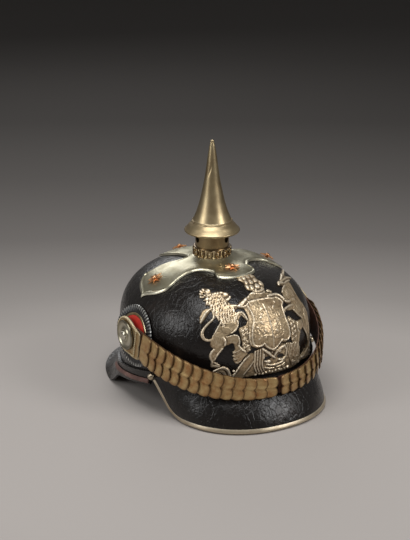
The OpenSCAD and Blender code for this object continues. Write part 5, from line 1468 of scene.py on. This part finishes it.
def strap_width(a):
    return mix(STRAP_WIDE, STRAP_NARROW, sind(a) ** 4)


def strap_frame(a):
    """A place on the strap with its directions along, across and out."""
    t = unit(strap_line(a + 0.5) - strap_line(a - 0.5))
    n = unit(np.cross(t, UP))
    return strap_line(a), t, np.cross(n, t), n


def make_strap_leather():
    outer, inner = [], []
    line = np.linspace(1, -1, 9)
    wear_and_glint = np.where(np.abs(line) == 1, 0.35, 0.0)
    for a in np.linspace(STRAP_START, STRAP_STOP, 90):
        p, t, w, n = strap_frame(a)
        half = strap_width(a) / 2 - 1
        outer.append([p + w * half * s - n * r for s, r in zip(line, wear_and_glint)])
        inner.append([p + w * half * s - n * (STRAP_T - r) for s, r in zip(line, wear_and_glint)])
    disc = lathe([(3.2, 0), (16.9, 0), (17.4, 0.35), (17.4, 1.25), (16.9, 1.6), (3.2, 1.6)], 96)
    disc = placed(disc, np.array([-BACKING_FACE, -ROSETTE_Y, ROSETTE_Z]), FWD, UP, OUT)
    on_both_sides("strap_backing", joined([thick(outer, inner), disc]), "strap_leather", "strap_leather",
                  body="chin_strap")


def scale_part(width, length, seed):
    """One scale on its own axes: X forward along the strap, Y across, Z out. Its front edge has two lobes."""
    m, n = 15, 41
    top = np.zeros((m, n, 3))
    skew, reach = np.random.default_rng(seed).uniform(-0.35, 0.35, 4)[:2]
    for j, y in enumerate(np.linspace(-1, 1, n)):
        lobe = LOBE * abs(math.sin(math.pi * y)) ** 0.55 if abs(y) < 0.985 else 0.4
        front = length + lobe + skew * y + reach * 0.6
        crown = 0.75 * (1 - y * y)
        ridge = 0.42 * math.exp(-(y / 0.10) ** 2) - 0.28 * math.exp(-((abs(y) - 0.24) / 0.12) ** 2)
        for i in range(m):
            s = i / (m - 1)
            swell = 1 + 0.07 * math.sin(math.pi * min(max((s - 0.25) / 0.75, 0), 1))
            roll = -0.45 * smooth((s - 0.86) / 0.14) - 0.4 * smooth((abs(y) - 0.86) / 0.14)
            high = 0.9 + crown + ridge * (0.4 + 0.6 * s) + float(roll)
            top[i, j] = (mix(SCALE_BACK, front, s), y * width / 2 * swell, high)
    return thick(top, top - [0, 0, SCALE_T])


def make_scales():
    pitch = float(np.linalg.norm(strap_line(45 + SCALE_STEP / 2) - strap_line(45 - SCALE_STEP / 2)))
    c, s = math.cos(math.radians(SCALE_TILT)), math.sin(math.radians(SCALE_TILT))
    for side, first_seed in (("right", 0), ("left", 20)):
        parts = []
        for i in range(SCALES):
            a = SCALES_START + SCALE_STEP * i
            p, t, w, n = strap_frame(a)
            scale = scale_part(float(strap_width(a)), pitch + 0.8, first_seed + i)
            part = placed(scale, p + n * 0.4, t * c + n * s, w, n * c - t * s)
            parts.append(part if side == "right" else mirrored(part))
        piece(f"strap_scale_row_{side}", *joined(parts), M["scale_brass"], body="chin_strap",
              replaces=[f"strap_scales_{side}"])


def make_strap_ends():
    """Round plates behind the rosettes that narrow towards the first scale, with a beaded rim."""
    origin = np.array([-END_FACE, -ROSETTE_Y, ROSETTE_Z])
    along, across = FWD * cosd(END_DIP) - UP * sind(END_DIP), FWD * sind(END_DIP) + UP * cosd(END_DIP)
    turn = np.linspace(END_JOIN, 360 - END_JOIN, 120)
    round_end = np.stack([END_R * cosd(turn), END_R * sind(turn)], 1)
    lower = np.linspace(round_end[-1], (END_REACH, -END_HALF), 14)[1:]
    ys = np.linspace(-1, 1, 49)[1:-1]
    front = np.stack([END_REACH + 1.7 * np.abs(np.sin(np.pi * ys)) ** 0.5, ys * END_HALF], 1)
    outline = np.concatenate([round_end, lower, front, lower[::-1] * [1, -1]])
    hole = unit(outline) * 3.2
    flat = smooth((outline[:, 0] - 8) / 6)
    rows = []
    for s, h in ((0.0, 0.0), (0.0, 1.1), (0.5, 1.2), (0.86, 1.2), (0.93, 1.35), (0.985, 1.25),
                 (1.0, 1.0), (1.0, 0.0)):
        q = mix(hole, outline, s)
        rows.append(vec(q[:, 0], q[:, 1], mix(h, min(h, 0.75), flat)))
    parts = [tube_skin(rows[::-1])]
    # Beads along the rim, but not on the front edge
    keep = outline[outline[:, 0] < 19]
    bead = unit(keep) * (np.linalg.norm(keep, axis=1, keepdims=True) - 0.95)
    bead = bead[np.argsort(np.unwrap(np.arctan2(bead[:, 1], bead[:, 0]) % (2 * np.pi)))]
    steps = np.concatenate([[0], np.cumsum(np.linalg.norm(np.diff(bead, axis=0), axis=1))])
    for d in np.arange(0.5, steps[-1], 2.05):
        x, y = [np.interp(d, steps, bead[:, k]) for k in (0, 1)]
        parts.append(ball((x, y, 1.3), 0.95, 6, 10))
    on_both_sides("strap_end_plate", placed(joined(parts), origin, along, across, OUT), "strap_end_metal",
                  "strap_end", body="chin_strap", sharp=50)


def make_strap_tab():
    """A leather tab behind the middle of the strap that joins its halves."""
    outer, inner = [], []
    for a in np.linspace(TAB_START, TAB_STOP, 21):
        p, t, w, n = strap_frame(min(a, 180 - a, 89.9))
        if a > 90:
            p, n = p * [-1, 1, 1], n * [-1, 1, 1]
        for face, depth in ((outer, STRAP_T + 0.15), (inner, STRAP_T + 1.1)):
            face.append([p - n * depth + UP * (TAB_LIFT + TAB_HALF * s) for s in np.linspace(1, -1, 5)])
    piece("strap_joining_tab", *thick(outer, inner), M["strap_leather"], body="chin_strap",
          replaces=["strap_tab"])


make_strap_leather()
make_scales()
make_strap_ends()
make_strap_tab()


# Lining
BAND_LEAN, BAND_T = 2.5, 1.3
TONGUES, TONGUE_GAP, TONGUE_T, TONGUE_TOP = 10, 2.5, 1.3, 62
# Where a tongue leaves the wall, how far it narrows and where its round tip starts, all as shares
TONGUE_BEND, TONGUE_TAPER, TONGUE_TIP = 0.25, 0.62, 0.93
TONGUE_DEPTH = -WALL - SKIN_GAP - BAND_LEAN - 1.6 - 0.4


def make_sweatband():
    az = np.linspace(0, 360, 240, endpoint=False)
    low = rim_z(wall_pt(az, 0)[:, 1])
    outer, inner = [], []
    for t in np.linspace(0, 1, 13):
        depth = -WALL - SKIN_GAP - BAND_LEAN * t ** 1.2
        roll = 0.5 * math.exp(-((t - 0.03) / 0.05) ** 2) + 0.35 * math.exp(-((t - 0.97) / 0.05) ** 2)
        ripple = 0.15 * np.sin(np.radians(az) * 9 + 2 * t) * t
        z = mix(low + 2, low + SWEAT_H, t)
        outer.append(wall_pt(az, z, depth))
        inner.append(wall_pt(az, z, depth - BAND_T - roll + ripple))
    piece("sweatband_leather", *tube_skin(outer + inner[::-1]), M["lining_leather"], replaces=["sweatband"])


def tongue_part(mid):
    """A leather tongue that rises inside the wall, bends in under the dome and ends in a round tip."""
    half = 180 / TONGUES - TONGUE_GAP
    outer, inner = [], []
    for t in np.linspace(0, 1, 33):
        tip = max((t - TONGUE_TIP) / 0.07, 0)
        narrow = mix(1, TONGUE_TAPER, max(t * 2 - 1, 0)) * math.sqrt(max(1 - tip ** 2, 0.06))
        dome = max((t - TONGUE_BEND) / (1 - TONGUE_BEND), 0)
        for row, d in ((outer, TONGUE_DEPTH), (inner, TONGUE_DEPTH - TONGUE_T)):
            line = []
            for s in np.linspace(-1, 1, 13):
                az = mid + half * s * narrow
                if t < TONGUE_BEND:
                    rim = float(rim_z(wall_pt(az, 0)[1]))
                    line.append(wall_pt(az, mix(rim + SWEAT_H - 8, BASE_Z + 2, t / TONGUE_BEND), d))
                else:
                    wave = 0.6 * math.sin(math.pi * (s + 1)) * math.sin(math.pi * t) + 0.35 * (1 - s * s)
                    sag = 8 * t + wave * min((t - TONGUE_BEND) / TONGUE_BEND, 1)
                    line.append(dome_pt(az, mix(6, TONGUE_TOP, dome), d - sag))
            row.append(line)
    return thick(outer, inner)


def make_tongues():
    parts = [tongue_part(360 * (k + 0.5) / TONGUES) for k in range(TONGUES)]
    piece("lining_tongue_set", *joined(parts), M["lining_leather"], replaces=["lining_tongues"])


make_sweatband()
make_tongues()


# Floor, light and camera
CAMERA_AZIMUTH, CAMERA_ELEVATION, CAMERA_DISTANCE = -30.8, 19.5, 1.5
CAMERA_ASIDE, CAMERA_HEIGHT = -0.0069, 0.1167
IMAGE_HEIGHT, FOCAL_PIXELS, SENSOR = 540, 1537.7, 36
FLOOR_HALF, FLOOR_FADE = 9.0, 3.0
STUDIO_COLOR, STUDIO_STRENGTH = (0.32, 0.31, 0.30, 1), 0.55
# The floor's tone by the distance from the helmet in metres: a painted pool of light round the helmet, with
# painted shade that darkens behind it
LIGHT_POOL_TONES = [
    (0.0, 0.425), (0.15, 0.425), (0.25, 0.307), (0.46, 0.171), (0.73, 0.108), (1.07, 0.064), (1.56, 0.049),
    (2.19, 0.049), (3.0, 0.045)]
# Soft boxes: place, target, size in metres and power in watts
LAMPS = {
    "softbox_top": ((-0.25, -0.25, 1.5), (0, 0, 0.1), (1.1, 0.8), 13),
    "softbox_front_right": ((0.75, -1.25, 0.95), (0, -0.05, 0.09), (0.55, 0.75), 9),
    "softbox_left": ((-1.35, 0.1, 0.75), (0, 0, 0.1), (0.5, 0.9), 6),
    "softbox_back": ((0.5, 1.4, 0.8), (0, 0, 0.12), (0.9, 0.5), 4),
}


def aim(obj, direction):
    obj.rotation_euler = Vector(direction).to_track_quat("-Z", "Y").to_euler()


def make_floor():
    marks = np.linspace(-FLOOR_HALF, FLOOR_HALF, 9)
    verts = [(x, y, 0) for x in marks for y in marks]
    mesh = bpy.data.meshes.new("floor")
    mesh.from_pydata(verts, [], [face[::-1] for face in grid_faces(len(marks), len(marks))])
    s = Shader("floor_paper", rough=0.9, Specular_IOR_Level=0.1)
    xyz = s.node("ShaderNodeSeparateXYZ")
    s.link(s.stretched(rot=(0, 0, math.radians(-CAMERA_AZIMUTH))), xyz.inputs[0])
    across = s.math("MULTIPLY", xyz.outputs["X"], 0.5)
    along = s.math("MAXIMUM", xyz.outputs["Y"], s.math("MULTIPLY", xyz.outputs["Y"], -0.4))
    far = s.span(s.length(across, along), 0.0, FLOOR_FADE, 0.0, 1.0)
    # Painted light and shade: the floor is pale near the helmet and darker further away
    s.color(s.ramp(far, [(r / FLOOR_FADE, (c, c * 0.93, c * 0.88)) for r, c in LIGHT_POOL_TONES]))
    mesh.materials.append(s.mat)
    added("floor", mesh)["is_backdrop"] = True


def make_light():
    world = bpy.data.worlds.new("studio")
    bpy.context.scene.world = world
    world.use_nodes = True
    world.node_tree.nodes["Background"].inputs["Color"].default_value = STUDIO_COLOR
    world.node_tree.nodes["Background"].inputs["Strength"].default_value = STUDIO_STRENGTH
    for name, (place, target, size, power) in LAMPS.items():
        data = bpy.data.lights.new(name, "AREA")
        data.shape = "RECTANGLE"
        data.size, data.size_y = size
        data.energy = power
        lamp = added(name, data)
        lamp.location = place
        aim(lamp, np.subtract(target, place))


def make_camera():
    c, s = cosd(CAMERA_AZIMUTH), sind(CAMERA_AZIMUTH)
    level, rise = cosd(CAMERA_ELEVATION), sind(CAMERA_ELEVATION)
    target = np.array([CAMERA_ASIDE * c, CAMERA_ASIDE * s, CAMERA_HEIGHT])
    back = np.array([s * level, -c * level, rise])
    data = bpy.data.cameras.new("camera")
    data.sensor_width = SENSOR
    data.lens = SENSOR * FOCAL_PIXELS / IMAGE_HEIGHT
    data.clip_end = 60
    camera = added("camera", data)
    camera.location = target + back * CAMERA_DISTANCE
    aim(camera, -back)
    bpy.context.scene.camera = camera
    bpy.context.scene.view_settings.view_transform = "Standard"


make_floor()
make_light()
make_camera()

boxes = [[[float(v) for v in corner] for corner in box] for box in (cad_bounds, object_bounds())]
